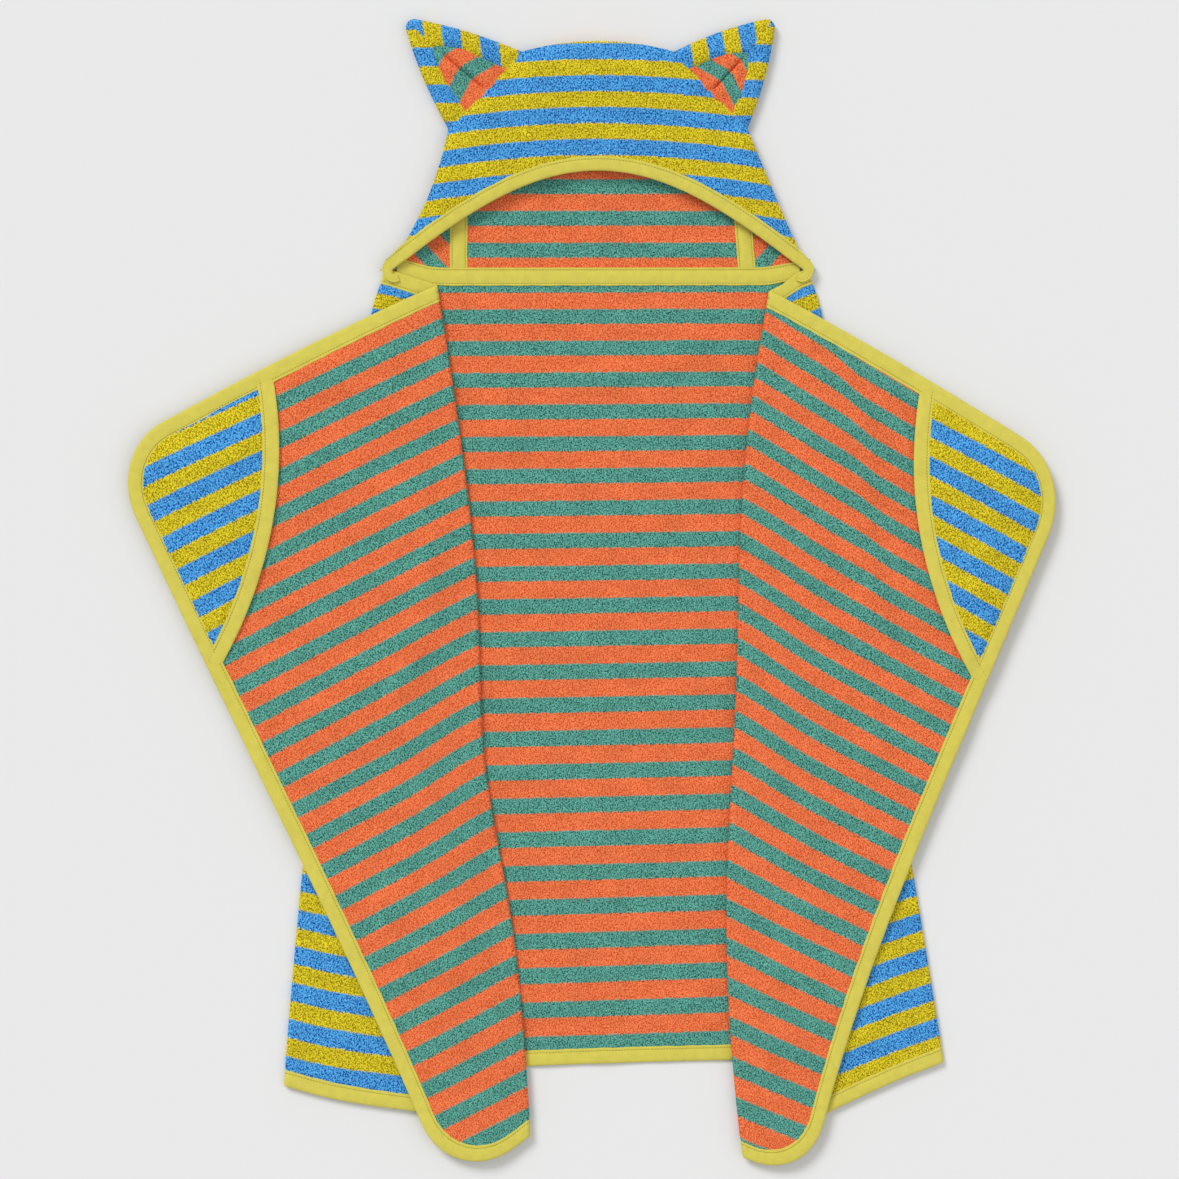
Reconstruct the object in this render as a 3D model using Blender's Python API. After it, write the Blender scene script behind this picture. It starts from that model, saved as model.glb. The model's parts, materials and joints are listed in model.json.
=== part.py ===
"""Hooded baby towel, laid face up with each front folded back on itself in a Z.

The body is one cloth, cut to a flat pattern.  It is cut again here at its four folds,
because a rigid solid can't bend, and each layer is the pattern mirrored in its fold lines.
Drawing frame: x = 0 on the centre line, y = 0 on the neck edge, +Y towards the hood,
z = 0 on the floor.  At the end the whole towel is moved so that the middle of its
bounding box stands over the origin.
"""
import math

import bmesh
import bpy
from mathutils import Vector

# ---------------------------------------------------------------- driving dimensions, metres
# flat pattern of the body
BODY_LENGTH = 0.795
FRONT_HALF_TOP = 0.636
FRONT_HALF_HEM = 0.656
SHOULDER_DROP = 0.027
HEM_DROP = 0.026
TOP_CORNER_RADIUS = 0.065
HEM_CORNER_RADIUS = 0.078

# fold lines: distance from the centre line at the neck, and lean away from it at the hem
OUTER_FOLD_OFFSET = {"left": 0.2205, "right": 0.2165}
OUTER_FOLD_LEAN = {"left": math.radians(6.4), "right": math.radians(9.3)}
INNER_FOLD_OFFSET = {"left": 0.162, "right": 0.160}
INNER_FOLD_LEAN = {"left": math.radians(-5.9), "right": math.radians(-1.9)}

# cloth, tape and the clearances between them
CLOTH = 0.0035
LAYER_GAP = 0.0005
CLEAR = 0.0003
TAPE_WALL = 0.0007
EDGE_TAPE_WIDTH = 0.015
NECK_TAPE_WIDTH = 0.018
FOLD_END_MARGIN = 0.020

# hand pockets in the top front corners
POCKET_ON_SHOULDER = 0.175
POCKET_ON_FRONT = 0.223
POCKET_MOUTH_BULGE = 0.029
POCKET_ROOM = 0.0065
POCKET_CLOTH = 0.0030
MOUTH_TAPE_WIDTH = 0.014
LIP_ROOT = 0.017

# hood
HOOD_HEIGHT = 0.226
HOOD_CROWN_HALF = 0.074
HOOD_CROWN_RISE = 0.010
HOOD_EAR_HALF = 0.149
HOOD_EAR_HEIGHT = 0.138
HOOD_NECK_HALF = 0.2145
HOOD_ROOM = 0.010
HOOD_SEAM_HALF = 0.1405
SEAM_TAPE_WIDTH = 0.016
SEAM_TAPE_THICKNESS = 0.0008
FACE_OPENING_HALF = 0.188
FACE_OPENING_RISE = 0.097
FACE_TAPE_WIDTH = 0.012

# ears
EAR_TIP_OUT = {"left": 0.186, "right": 0.172}
EAR_TIP_HEIGHT = 0.247
EAR_TIP_RADIUS = 0.007
EAR_SIDE_BULGE = 0.006
EAR_BASE_HEIGHT = 0.004
EAR_CLOTH = 0.0030
EAR_RIM_WIDTH = 0.027
EAR_INSERT_THICKNESS = 0.0020

# heights of the joint axes of the hood and the ears
HOOD_AXIS_HEIGHT = 0.0160
EAR_AXIS_HEIGHT = 0.0145

# ---------------------------------------------------------------- derived heights
LAYER_PITCH = CLOTH + LAYER_GAP
LAYER_FLOOR = {"back": 0.0, "side": LAYER_PITCH, "front": 2 * LAYER_PITCH}
POCKET_FLOOR = LAYER_FLOOR["front"] + CLOTH + CLEAR
POCKET_TOP = POCKET_FLOOR + POCKET_ROOM + POCKET_CLOTH
HOOD_FRONT_TOP = CLOTH + HOOD_ROOM + CLOTH

SIDE_SIGN = {"left": -1, "right": 1}
ARC_STEPS = 8
HEM_STEPS = 5
MOUTH_STEPS = 12

ORANGE = (0.87, 0.16, 0.05, 1.0)
BLUE = (0.06, 0.27, 0.80, 1.0)
OLIVE = (0.50, 0.42, 0.02, 1.0)
LIME = (0.68, 0.64, 0.09, 1.0)


# ---------------------------------------------------------------- outlines
# An outline runs anticlockwise.  Each entry is a point and the kind of the edge that leaves it.
def fillet(before, corner, after, radius, steps=ARC_STEPS):
    """Points of the arc that rounds a corner, from the edge before it to the edge after it."""
    towards_before = (before - corner).normalized()
    towards_after = (after - corner).normalized()
    half_angle = towards_before.angle(towards_after) / 2
    middle = (towards_before + towards_after).normalized()
    centre = corner + middle * (radius / math.sin(half_angle))
    start = corner + towards_before * (radius / math.tan(half_angle)) - centre
    end = corner + towards_after * (radius / math.tan(half_angle)) - centre
    sweep = start.angle_signed(end)
    arc = []
    for step in range(steps + 1):
        turn = -sweep * step / steps
        spoke = Vector((start.x * math.cos(turn) - start.y * math.sin(turn),
                        start.x * math.sin(turn) + start.y * math.cos(turn)))
        arc.append(centre + spoke)
    return arc


def labelled(points, kind):
    return [(point, kind) for point in points]


def body_pattern():
    """The whole body cloth laid flat: neck, shoulders, rounded fronts and a dipping hem."""
    half = {}
    for side, sign in SIDE_SIGN.items():
        neck_end = Vector((sign * OUTER_FOLD_OFFSET[side], 0))
        top_corner = Vector((sign * FRONT_HALF_TOP, -SHOULDER_DROP))
        hem = []
        for step in range(HEM_STEPS + 1):
            share = step / HEM_STEPS
            hem.append(Vector((sign * share * FRONT_HALF_HEM, -BODY_LENGTH - HEM_DROP * share ** 2)))
        top_arc = fillet(neck_end, top_corner, hem[-1], TOP_CORNER_RADIUS)
        hem_arc = fillet(top_corner, hem[-1], hem[-2], HEM_CORNER_RADIUS)
        half[side] = (neck_end, top_arc, hem_arc, hem[:-1])
    outline = [(half["right"][0], "neck"), (half["left"][0], "shoulder")]
    neck_end, top_arc, hem_arc, hem = half["left"]
    outline += labelled(top_arc + hem_arc[:-1], "front")
    outline += labelled([hem_arc[-1]] + hem[:0:-1], "hem")
    neck_end, top_arc, hem_arc, hem = half["right"]
    outline += labelled(hem + [hem_arc[-1]], "hem")
    outline[-1] = (outline[-1][0], "front")
    outline += labelled(hem_arc[-2::-1] + top_arc[:0:-1], "front")
    outline.append((top_arc[0], "shoulder"))
    return outline


def clip(outline, origin, direction, label):
    """The part of an outline on the left of a line; the new edge along the line is labelled."""
    normal = Vector((-direction.y, direction.x))
    touching = 1e-7
    kept = []
    for index, (point, kind) in enumerate(outline):
        following = outline[(index + 1) % len(outline)][0]
        here = (point - origin).dot(normal)
        there = (following - origin).dot(normal)
        crossing = None
        if here * there < 0 and min(abs(here), abs(there)) > touching:
            crossing = point.lerp(following, here / (here - there))
        if here >= -touching:
            leaves = there < -touching
            kept.append((point, label if leaves and crossing is None else kind))
            if leaves and crossing is not None:
                kept.append((crossing, label))
        elif crossing is not None:
            kept.append((crossing, kind))
    return kept


def mirrored(outline, origin, direction):
    """An outline mirrored in a line, kept anticlockwise."""
    result = []
    for index in range(len(outline) - 1, -1, -1):
        offset = outline[index][0] - origin
        point = origin + 2 * offset.dot(direction) * direction - offset
        result.append((point, outline[index - 1][1]))
    return result


def inset(outline, widths):
    """The outline's points with each edge moved inwards by the width given for its kind."""
    points = [point for point, kind in outline]
    moved = []
    for index, (point, kind) in enumerate(outline):
        before = (point - points[index - 1]).normalized()
        after = (points[(index + 1) % len(points)] - point).normalized()
        normal_before = Vector((-before.y, before.x))
        normal_after = Vector((-after.y, after.x))
        width_before = widths[outline[index - 1][1]]
        width_after = widths[kind]
        turn = before.x * after.y - before.y * after.x
        if abs(turn) < 1e-4:
            moved.append(point + normal_after * width_after)
            continue
        # the point that lies on both moved edges
        shift = (after * width_before - before * width_after) / turn
        moved.append(point + shift)
    return moved


# ---------------------------------------------------------------- fold lines
def fold_line(offset, lean, side):
    """A point of a fold line at the neck level, and its direction towards the hem."""
    sign = SIDE_SIGN[side]
    return Vector((sign * offset, 0)), Vector((sign * math.sin(lean), -math.cos(lean)))


OUTER_FOLD = {side: fold_line(OUTER_FOLD_OFFSET[side], OUTER_FOLD_LEAN[side], side) for side in SIDE_SIGN}
INNER_FOLD = {side: fold_line(INNER_FOLD_OFFSET[side], INNER_FOLD_LEAN[side], side) for side in SIDE_SIGN}


def beyond(outline, line, side, label):
    """The part of an outline on the outer side of a fold line."""
    origin, direction = line
    return clip(outline, origin, direction * SIDE_SIGN[side], label)


def within(outline, line, side, label):
    """The part of an outline on the inner side of a fold line."""
    origin, direction = line
    return clip(outline, origin, direction * -SIDE_SIGN[side], label)


def folded_layers(side, pattern):
    """Outlines of the side layer and of the front layer, where they lie in the folded towel."""
    turned = mirrored(beyond(pattern, OUTER_FOLD[side], side, "fold"), *OUTER_FOLD[side])
    side_layer = beyond(turned, INNER_FOLD[side], side, "fold")
    front_layer = mirrored(within(turned, INNER_FOLD[side], side, "fold"), *INNER_FOLD[side])
    return side_layer, front_layer


def pocket_outlines(side, pattern):
    """The pocket up to the line that its mouth bends about, and the bowed lip beyond it."""
    sign = SIDE_SIGN[side]
    corner = Vector((sign * FRONT_HALF_TOP, -SHOULDER_DROP))
    neck_end = Vector((sign * OUTER_FOLD_OFFSET[side], 0))
    hem_corner = Vector((sign * FRONT_HALF_HEM, -BODY_LENGTH - HEM_DROP))
    on_shoulder = corner + (neck_end - corner).normalized() * POCKET_ON_SHOULDER
    on_front = corner + (hem_corner - corner).normalized() * POCKET_ON_FRONT
    chord = (on_front - on_shoulder).normalized() * -sign
    inwards = Vector((-chord.y, chord.x))
    back = inwards * -LIP_ROOT
    patch = clip(pattern, on_shoulder + back, -chord, "chord")
    half_chord = (on_front - on_shoulder).length / 2
    radius = (half_chord ** 2 + POCKET_MOUTH_BULGE ** 2) / (2 * POCKET_MOUTH_BULGE)
    centre = (on_shoulder + on_front) / 2 + inwards * (POCKET_MOUTH_BULGE - radius)
    half_sweep = math.asin(half_chord / radius)
    arc = []
    for step in range(MOUTH_STEPS + 1):
        turn = half_sweep * (2 * step / MOUTH_STEPS - 1)
        arc.append(centre + (inwards * math.cos(turn) - chord * math.sin(turn)) * radius)
    lip = labelled(arc[:-1], "mouth") + [(arc[-1], "end")]
    lip += [(arc[-1] + back, "chord"), (arc[0] + back, "end")]
    shoulder = (corner - neck_end).normalized() * -sign
    front = (hem_corner - corner).normalized() * -sign
    rim = EDGE_TAPE_WIDTH + CLEAR
    lip = clip(lip, corner + Vector((-shoulder.y, shoulder.x)) * rim, shoulder, "end")
    lip = clip(lip, corner + Vector((-front.y, front.x)) * rim, front, "end")
    laid = []
    for outline in (patch, lip):
        laid.append(mirrored(mirrored(outline, *OUTER_FOLD[side]), *INNER_FOLD[side]))
    return laid


# ---------------------------------------------------------------- scene helpers
def clear_scene():
    for old in list(bpy.data.objects):
        bpy.data.objects.remove(old, do_unlink=True)


def new_collection(name):
    collection = bpy.data.collections.new(name)
    bpy.context.scene.collection.children.link(collection)
    return collection


def new_material(name, colour, roughness):
    material = bpy.data.materials.new(name)
    material.use_nodes = True
    shader = material.node_tree.nodes["Principled BSDF"]
    shader.inputs["Base Color"].default_value = colour
    shader.inputs["Roughness"].default_value = roughness
    shader.inputs["Metallic"].default_value = 0.0
    return material


def pivot(name, location, parent):
    """An empty on a joint's axis, which carries the pieces of one body."""
    empty = bpy.data.objects.new(name, None)
    empty.location = Vector(location) - parent_origin(parent)
    empty.parent = parent
    PARTS.objects.link(empty)
    return empty


def parent_origin(parent):
    origin = Vector((0, 0, 0))
    while parent is not None:
        origin += Vector(parent.location)
        parent = parent.parent
    return origin


def finish(name, piece, body, colour, roughness=0.95):
    """Name a piece, give it its material and hang it on its body's pivot."""
    piece.name = name
    piece.data.name = name
    piece.data.materials.append(new_material(name, colour, roughness))
    piece.parent = body
    piece.location = Vector(piece.location) - parent_origin(body)
    return piece


def mesh_object(builder, collection):
    """An object from a bmesh, its doubled points merged and its faces turned outwards."""
    bmesh.ops.remove_doubles(builder, verts=builder.verts, dist=1e-6)
    bmesh.ops.recalc_face_normals(builder, faces=builder.faces)
    mesh = bpy.data.meshes.new("solid")
    builder.to_mesh(mesh)
    builder.free()
    piece = bpy.data.objects.new("solid", mesh)
    collection.objects.link(piece)
    return piece


def slab(points, floor, thickness):
    """A flat sheet: a filled outline as a 2D curve, extruded to its thickness."""
    curve = bpy.data.curves.new("outline", "CURVE")
    curve.dimensions = "2D"
    curve.fill_mode = "BOTH"
    curve.extrude = thickness / 2
    spline = curve.splines.new("POLY")
    spline.points.add(len(points) - 1)
    for target, point in zip(spline.points, points):
        target.co = (point.x, point.y, 0, 1)
    spline.use_cyclic_u = True
    piece = bpy.data.objects.new("outline", curve)
    piece.location.z = floor + thickness / 2
    PARTS.objects.link(piece)
    return piece


def solid_slab(points, floor, thickness, collection):
    """The same flat sheet as a mesh with welded edges, for a Boolean."""
    curve_piece = slab(points, floor, thickness)
    evaluated = curve_piece.evaluated_get(bpy.context.evaluated_depsgraph_get())
    mesh = bpy.data.meshes.new_from_object(evaluated)
    height = curve_piece.location.z
    bpy.data.objects.remove(curve_piece, do_unlink=True)
    builder = bmesh.new()
    builder.from_mesh(mesh)
    bpy.data.meshes.remove(mesh)
    piece = mesh_object(builder, collection)
    piece.location.z = height
    return piece


def lofted(rings, flat_edges):
    """A closed body through rings of equal length; a flat edge becomes one face over all rings."""
    builder = bmesh.new()
    rows = [[builder.verts.new(point) for point in ring] for ring in rings]
    count = len(rings[0])
    for index in range(count):
        after = (index + 1) % count
        if index in flat_edges:
            down = [row[index] for row in reversed(rows)]
            builder.faces.new([row[after] for row in rows] + down)
            continue
        for lower, upper in zip(rows, rows[1:]):
            builder.faces.new((lower[index], lower[after], upper[after], upper[index]))
    builder.faces.new(rows[0][::-1])
    builder.faces.new(rows[-1])
    return mesh_object(builder, PARTS)


# ---------------------------------------------------------------- cloth and tape
def edge_widths(bound, neck):
    """Insets by kind of edge: taped edges, the neck edge, and a bare clearance at a fold."""
    return {"shoulder": bound, "front": bound, "hem": bound, "neck": neck, "fold": CLEAR}


def bound_sheet(outline, floor):
    """A layer of cloth whose taped edges are pressed thin, to lie inside the folded tape."""
    full = inset(outline, edge_widths(EDGE_TAPE_WIDTH + CLEAR, NECK_TAPE_WIDTH + CLEAR))
    pressed = inset(outline, edge_widths(TAPE_WALL + CLEAR, TAPE_WALL + CLEAR))
    low = floor + TAPE_WALL + CLEAR
    high = floor + CLOTH - TAPE_WALL - CLEAR
    levels = ((full, floor), (full, low), (pressed, low),
              (pressed, high), (full, high), (full, floor + CLOTH))
    rings = [[(point.x, point.y, height) for point in points] for points, height in levels]
    folds = {index for index, (point, kind) in enumerate(outline) if kind == "fold"}
    return lofted(rings, folds)


def run_of(outline, kinds):
    """Indices of the points along one unbroken run of edges of the given kinds."""
    count = len(outline)
    inside = [kind in kinds for point, kind in outline]
    starts = [index for index in range(count) if inside[index] and not inside[index - 1]]
    run = [starts[0]]
    while inside[run[-1] % count]:
        run.append(run[-1] + 1)
    return [index % count for index in run]


def folded_tape(outline, kinds, width, floor, height):
    """A tape folded over an edge: a U section swept along it, with mitred corners."""
    def shifted(distance):
        return inset(outline, {kind: distance if kind in kinds else CLEAR for point, kind in outline})

    brim, spine, inner = shifted(0), shifted(TAPE_WALL), shifted(width)
    top = floor + height
    above = top - TAPE_WALL
    below = floor + TAPE_WALL
    section = ((brim, floor), (brim, top), (inner, top), (inner, above),
               (spine, above), (spine, below), (inner, below), (inner, floor))
    builder = bmesh.new()
    rows = []
    for index in run_of(outline, kinds):
        rows.append([builder.verts.new((points[index].x, points[index].y, level))
                     for points, level in section])
    corners = len(section)
    for row, following in zip(rows, rows[1:]):
        for index in range(corners):
            after = (index + 1) % corners
            builder.faces.new((row[index], row[after], following[after], following[index]))
    for row in (rows[0], rows[-1]):
        for cap in ((0, 1, 4, 5), (1, 2, 3, 4), (0, 5, 6, 7)):
            builder.faces.new([row[index] for index in cap])
    return mesh_object(builder, PARTS)


def fold_strip(outline, line, side, floor, outwards):
    """The bend of the cloth between two layers: half a tube along the fold line."""
    origin, direction = line
    reach = [(point - origin).dot(direction) for point, kind in outline
             if abs((point - origin).cross(direction)) < 1e-6]
    normal = Vector((-direction.y, direction.x)) * (SIDE_SIGN[side] * outwards)
    axis_height = floor + CLOTH + LAYER_GAP / 2
    inner_radius = LAYER_GAP / 2
    outer_radius = inner_radius + CLOTH
    profile = []
    for radius, order in ((outer_radius, 1), (inner_radius, -1)):
        for step in range(ARC_STEPS + 1)[::order]:
            angle = math.pi * (step / ARC_STEPS - 0.5)
            profile.append((radius * math.cos(angle), axis_height + radius * math.sin(angle)))
    rings = []
    for along in (min(reach) + FOLD_END_MARGIN, max(reach) - FOLD_END_MARGIN):
        base = origin + direction * along
        rings.append([(*(base + normal * out), height) for out, height in profile])
    return lofted(rings, set())


def pouch(outline, open_kinds, floor, top, wall, cover):
    """A cover with a wall down to its sewn edges, hollow below and open at its mouth."""
    block = solid_slab([point for point, kind in outline], floor, top - floor, PARTS)
    overshoot = 0.010
    widths = {kind: -overshoot if kind in open_kinds else wall for point, kind in outline}
    hollow = inset(outline, widths)
    cutter = solid_slab(hollow, floor - overshoot, top - cover - floor + overshoot, CUTTERS)
    cutter.hide_render = True
    cutter.display_type = "WIRE"
    cut = block.modifiers.new("hollow", "BOOLEAN")
    cut.operation = "DIFFERENCE"
    cut.object = cutter
    return block, cutter


# ---------------------------------------------------------------- hood and ear outlines
def hood_outline():
    """The hood seen from above: neck, flaring sides, slanted ear seams and a bowed crown."""
    right = [Vector((HOOD_NECK_HALF, CLEAR))]
    flare = 4
    for step in range(1, flare):
        share = step / flare
        # the side draws in fastest just above the neck
        eased = 0.75 * share + 0.25 * math.sqrt(share)
        right.append(Vector((HOOD_NECK_HALF + (HOOD_EAR_HALF - HOOD_NECK_HALF) * eased,
                             HOOD_EAR_HEIGHT * share)))
    right.append(Vector((HOOD_EAR_HALF, HOOD_EAR_HEIGHT)))
    shoulder_height = HOOD_HEIGHT - HOOD_CROWN_RISE
    crown = []
    for step in range(ARC_STEPS + 1):
        across = 1 - 2 * step / ARC_STEPS
        crown.append(Vector((HOOD_CROWN_HALF * across,
                             shoulder_height + HOOD_CROWN_RISE * (1 - across ** 2))))
    left = [Vector((-point.x, point.y)) for point in reversed(right)]
    outline = labelled(right[:-1], "side") + [(right[-1], "ear")]
    outline += labelled(crown[:-1], "crown") + [(crown[-1], "ear")]
    outline += labelled(left[:-1], "side") + [(left[-1], "neck")]
    return outline


def hood_front_outline():
    """The hood's outline with the arched face opening cut out of its neck edge."""
    outline = hood_outline()
    arch = []
    steps = 2 * ARC_STEPS
    for step in range(steps + 1):
        across = 2 * step / steps - 1
        arch.append(Vector((FACE_OPENING_HALF * across,
                            CLEAR + FACE_OPENING_RISE * math.cos(math.pi / 2 * across))))
    return outline + labelled(arch[:-1], "face") + [(arch[-1], "neck")]


def ear_triangle(side):
    """The ear's base ends, inner one first, and its sharp tip."""
    sign = SIDE_SIGN[side]
    inner_end = Vector((sign * HOOD_CROWN_HALF, HOOD_HEIGHT - HOOD_CROWN_RISE))
    outer_end = Vector((sign * HOOD_EAR_HALF, HOOD_EAR_HEIGHT))
    tip = Vector((sign * EAR_TIP_OUT[side], EAR_TIP_HEIGHT))
    return inner_end, outer_end, tip


def bowed(start, end, bulge, steps=5):
    """Points from start to end, bowed to the right of the way between them."""
    way = end - start
    right = Vector((way.y, -way.x)).normalized()
    points = []
    for step in range(steps + 1):
        share = step / steps
        points.append(start + way * share + right * (bulge * math.sin(math.pi * share)))
    return points


def ear_outlines(side):
    """The whole ear, the rim along its two free sides, and the insert between them."""
    inner_end, outer_end, tip = ear_triangle(side)
    first, last = (inner_end, outer_end) if side == "left" else (outer_end, inner_end)
    base = (last - first).normalized()
    away = Vector((-base.y, base.x))
    if (tip - first).dot(away) < 0:
        away = -away
    first = first + away * CLEAR
    last = last + away * CLEAR
    up = bowed(first, tip, EAR_SIDE_BULGE)
    down = bowed(tip, last, EAR_SIDE_BULGE)
    tip_arc = fillet(up[-2], tip, down[1], EAR_TIP_RADIUS, steps=4)
    whole = labelled(up[:-1] + tip_arc + down[1:-1], "edge") + [(down[-1], "base")]
    core = [(first, "edge"), (tip, "edge"), (last, "base")]
    notch = inset(core, {"edge": EAR_RIM_WIDTH, "base": 0})
    rim = [point for point, kind in whole] + [notch[2], notch[1], notch[0]]
    insert = inset(core, {"edge": EAR_RIM_WIDTH + CLEAR, "base": 0})
    return [point for point, kind in whole], rim, insert


# ---------------------------------------------------------------- the pieces
def make_back(pattern, root):
    back = pattern
    for side in SIDE_SIGN:
        back = within(back, OUTER_FOLD[side], side, "fold")
    finish("back_panel", bound_sheet(back, LAYER_FLOOR["back"]), root, ORANGE)
    hem = folded_tape(back, {"hem"}, EDGE_TAPE_WIDTH, LAYER_FLOOR["back"], CLOTH)
    finish("back_hem_binding", hem, root, LIME, 0.85)
    neck = folded_tape(back, {"neck"}, NECK_TAPE_WIDTH, LAYER_FLOOR["back"], CLOTH)
    finish("neck_binding", neck, root, LIME, 0.85)


def make_front(side, pattern, root, side_body, front_body):
    side_layer, front_layer = folded_layers(side, pattern)
    level = LAYER_FLOOR["side"]
    finish(side + "_side_panel", bound_sheet(side_layer, level), side_body, BLUE)
    top = folded_tape(side_layer, {"shoulder"}, EDGE_TAPE_WIDTH, level, CLOTH)
    finish(side + "_side_top_binding", top, side_body, LIME, 0.85)
    hem = folded_tape(side_layer, {"hem", "front"}, EDGE_TAPE_WIDTH, level, CLOTH)
    finish(side + "_side_hem_binding", hem, side_body, LIME, 0.85)
    outer = fold_strip(side_layer, OUTER_FOLD[side], side, LAYER_FLOOR["back"], 1)
    finish(side + "_outer_fold", outer, root, BLUE)

    level = LAYER_FLOOR["front"]
    finish(side + "_front_panel", bound_sheet(front_layer, level), front_body, ORANGE)
    edges = {"shoulder", "front", "hem"}
    rim = folded_tape(front_layer, edges, EDGE_TAPE_WIDTH, level, CLOTH)
    finish(side + "_front_binding", rim, front_body, LIME, 0.85)
    inner = fold_strip(front_layer, INNER_FOLD[side], side, LAYER_FLOOR["side"], -1)
    finish(side + "_inner_fold", inner, side_body, ORANGE)


def make_pocket(side, patch, lip, front_body, lip_body):
    rim = EDGE_TAPE_WIDTH + CLEAR
    bare = inset(patch, {"shoulder": rim, "front": rim, "chord": CLEAR})
    outline = [(point, kind) for point, (old, kind) in zip(bare, patch)]
    block, cutter = pouch(outline, {"chord"}, POCKET_FLOOR, POCKET_TOP, POCKET_CLOTH, POCKET_CLOTH)
    finish(side + "_hand_pocket", block, front_body, BLUE)
    finish(side + "_pocket_cutter", cutter, front_body, BLUE)

    level = POCKET_TOP - POCKET_CLOTH
    proud = TAPE_WALL + CLEAR
    sheet = inset(lip, {"mouth": proud, "chord": CLEAR, "end": CLEAR})
    finish(side + "_pocket_lip", slab(sheet, level, POCKET_CLOTH), lip_body, OLIVE)
    tape = folded_tape(lip, {"mouth"}, MOUTH_TAPE_WIDTH, level - proud, POCKET_CLOTH + 2 * proud)
    finish(side + "_pocket_binding", tape, lip_body, LIME, 0.85)


def make_hood(hood):
    outline = hood_outline()
    seam_at = {side: Vector((sign * HOOD_SEAM_HALF, 0)) for side, sign in SIDE_SIGN.items()}
    up = Vector((0, 1))
    centre = clip(clip(outline, seam_at["left"], -up, "seam"), seam_at["right"], up, "seam")
    edge = {"side": 0, "ear": 0, "crown": 0, "neck": 0, "seam": CLEAR / 2}
    finish("hood_back_panel", slab(inset(centre, edge), 0, CLOTH), hood, ORANGE)
    wall = CLOTH + 2 * CLEAR
    hollow = inset(outline, {"side": wall, "ear": wall, "crown": wall, "neck": CLEAR})
    inside = [(point, kind) for point, (old, kind) in zip(hollow, outline)]
    for side, sign in SIDE_SIGN.items():
        part = clip(outline, seam_at[side], up * -sign, "seam")
        finish(side + "_hood_side_panel", slab(inset(part, edge), 0, CLOTH), hood, ORANGE)
        half = Vector((SEAM_TAPE_WIDTH / 2, 0))
        strip = clip(inside, seam_at[side] - half, -up, "seam")
        strip = clip(strip, seam_at[side] + half, up, "seam")
        strip = [point for point, kind in strip]
        tape = slab(strip, CLOTH + CLEAR, SEAM_TAPE_THICKNESS)
        finish(side + "_hood_seam_tape", tape, hood, LIME, 0.85)

    front = hood_front_outline()
    proud = TAPE_WALL + CLEAR
    bare = inset(front, {"side": 0, "ear": 0, "crown": 0, "neck": 0, "face": proud})
    trimmed = [(point, kind) for point, (old, kind) in zip(bare, front)]
    block, cutter = pouch(trimmed, {"face", "neck"}, CLOTH + CLEAR, HOOD_FRONT_TOP, CLOTH, CLOTH)
    finish("hood_front_panel", block, hood, BLUE)
    finish("hood_cutter", cutter, hood, BLUE)
    tape = folded_tape(front, {"face"}, FACE_TAPE_WIDTH, HOOD_FRONT_TOP - CLOTH - proud,
                       CLOTH + 2 * proud)
    finish("hood_opening_binding", tape, hood, LIME, 0.85)


def make_ear(side, ear_body):
    whole, rim, insert = ear_outlines(side)
    finish(side + "_ear_back", slab(whole, EAR_BASE_HEIGHT, EAR_CLOTH), ear_body, BLUE)
    level = EAR_BASE_HEIGHT + EAR_CLOTH + CLEAR
    finish(side + "_ear_rim", slab(rim, level, EAR_CLOTH), ear_body, OLIVE)
    finish(side + "_ear_insert", slab(insert, level, EAR_INSERT_THICKNESS), ear_body, ORANGE)


def shift_to_origin(towel):
    """Move the towel so that the middle of its bounding box stands over the origin."""
    bpy.context.view_layer.update()
    corners = []
    for piece in PARTS.objects:
        if piece.type != "EMPTY":
            corners += [piece.matrix_world @ Vector(corner) for corner in piece.bound_box]
    for axis in (0, 1):
        values = [corner[axis] for corner in corners]
        towel.location[axis] = -(min(values) + max(values)) / 2


def make_towel():
    pattern = body_pattern()
    towel = pivot("towel", (0, 0, 0), None)
    make_back(pattern, towel)
    for side in SIDE_SIGN:
        fold_height = CLOTH + LAYER_GAP / 2
        outer = (*OUTER_FOLD[side][0], fold_height)
        side_body = pivot(side + "_outer_fold_axis", outer, towel)
        inner = (*INNER_FOLD[side][0], LAYER_PITCH + fold_height)
        front_body = pivot(side + "_inner_fold_axis", inner, side_body)
        make_front(side, pattern, towel, side_body, front_body)

        patch, lip = pocket_outlines(side, pattern)
        hinge = next(point for point, kind in lip if kind == "chord")
        lip_body = pivot(side + "_lip_axis", (*hinge, POCKET_TOP), front_body)
        make_pocket(side, patch, lip, front_body, lip_body)
    hood = pivot("hood_axis", (0, 0, HOOD_AXIS_HEIGHT), towel)
    make_hood(hood)
    for side in SIDE_SIGN:
        outer_end = ear_triangle(side)[1]
        ear_body = pivot(side + "_ear_axis", (*outer_end, EAR_AXIS_HEIGHT), hood)
        make_ear(side, ear_body)
    shift_to_origin(towel)


clear_scene()
PARTS = new_collection("hooded_baby_towel")
CUTTERS = new_collection("cutters")
make_towel()
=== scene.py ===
"""Looks of the hooded baby towel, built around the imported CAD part."""
import json
import math

import bpy
import numpy as np
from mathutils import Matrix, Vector
from mathutils.geometry import delaunay_2d_cdt


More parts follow.
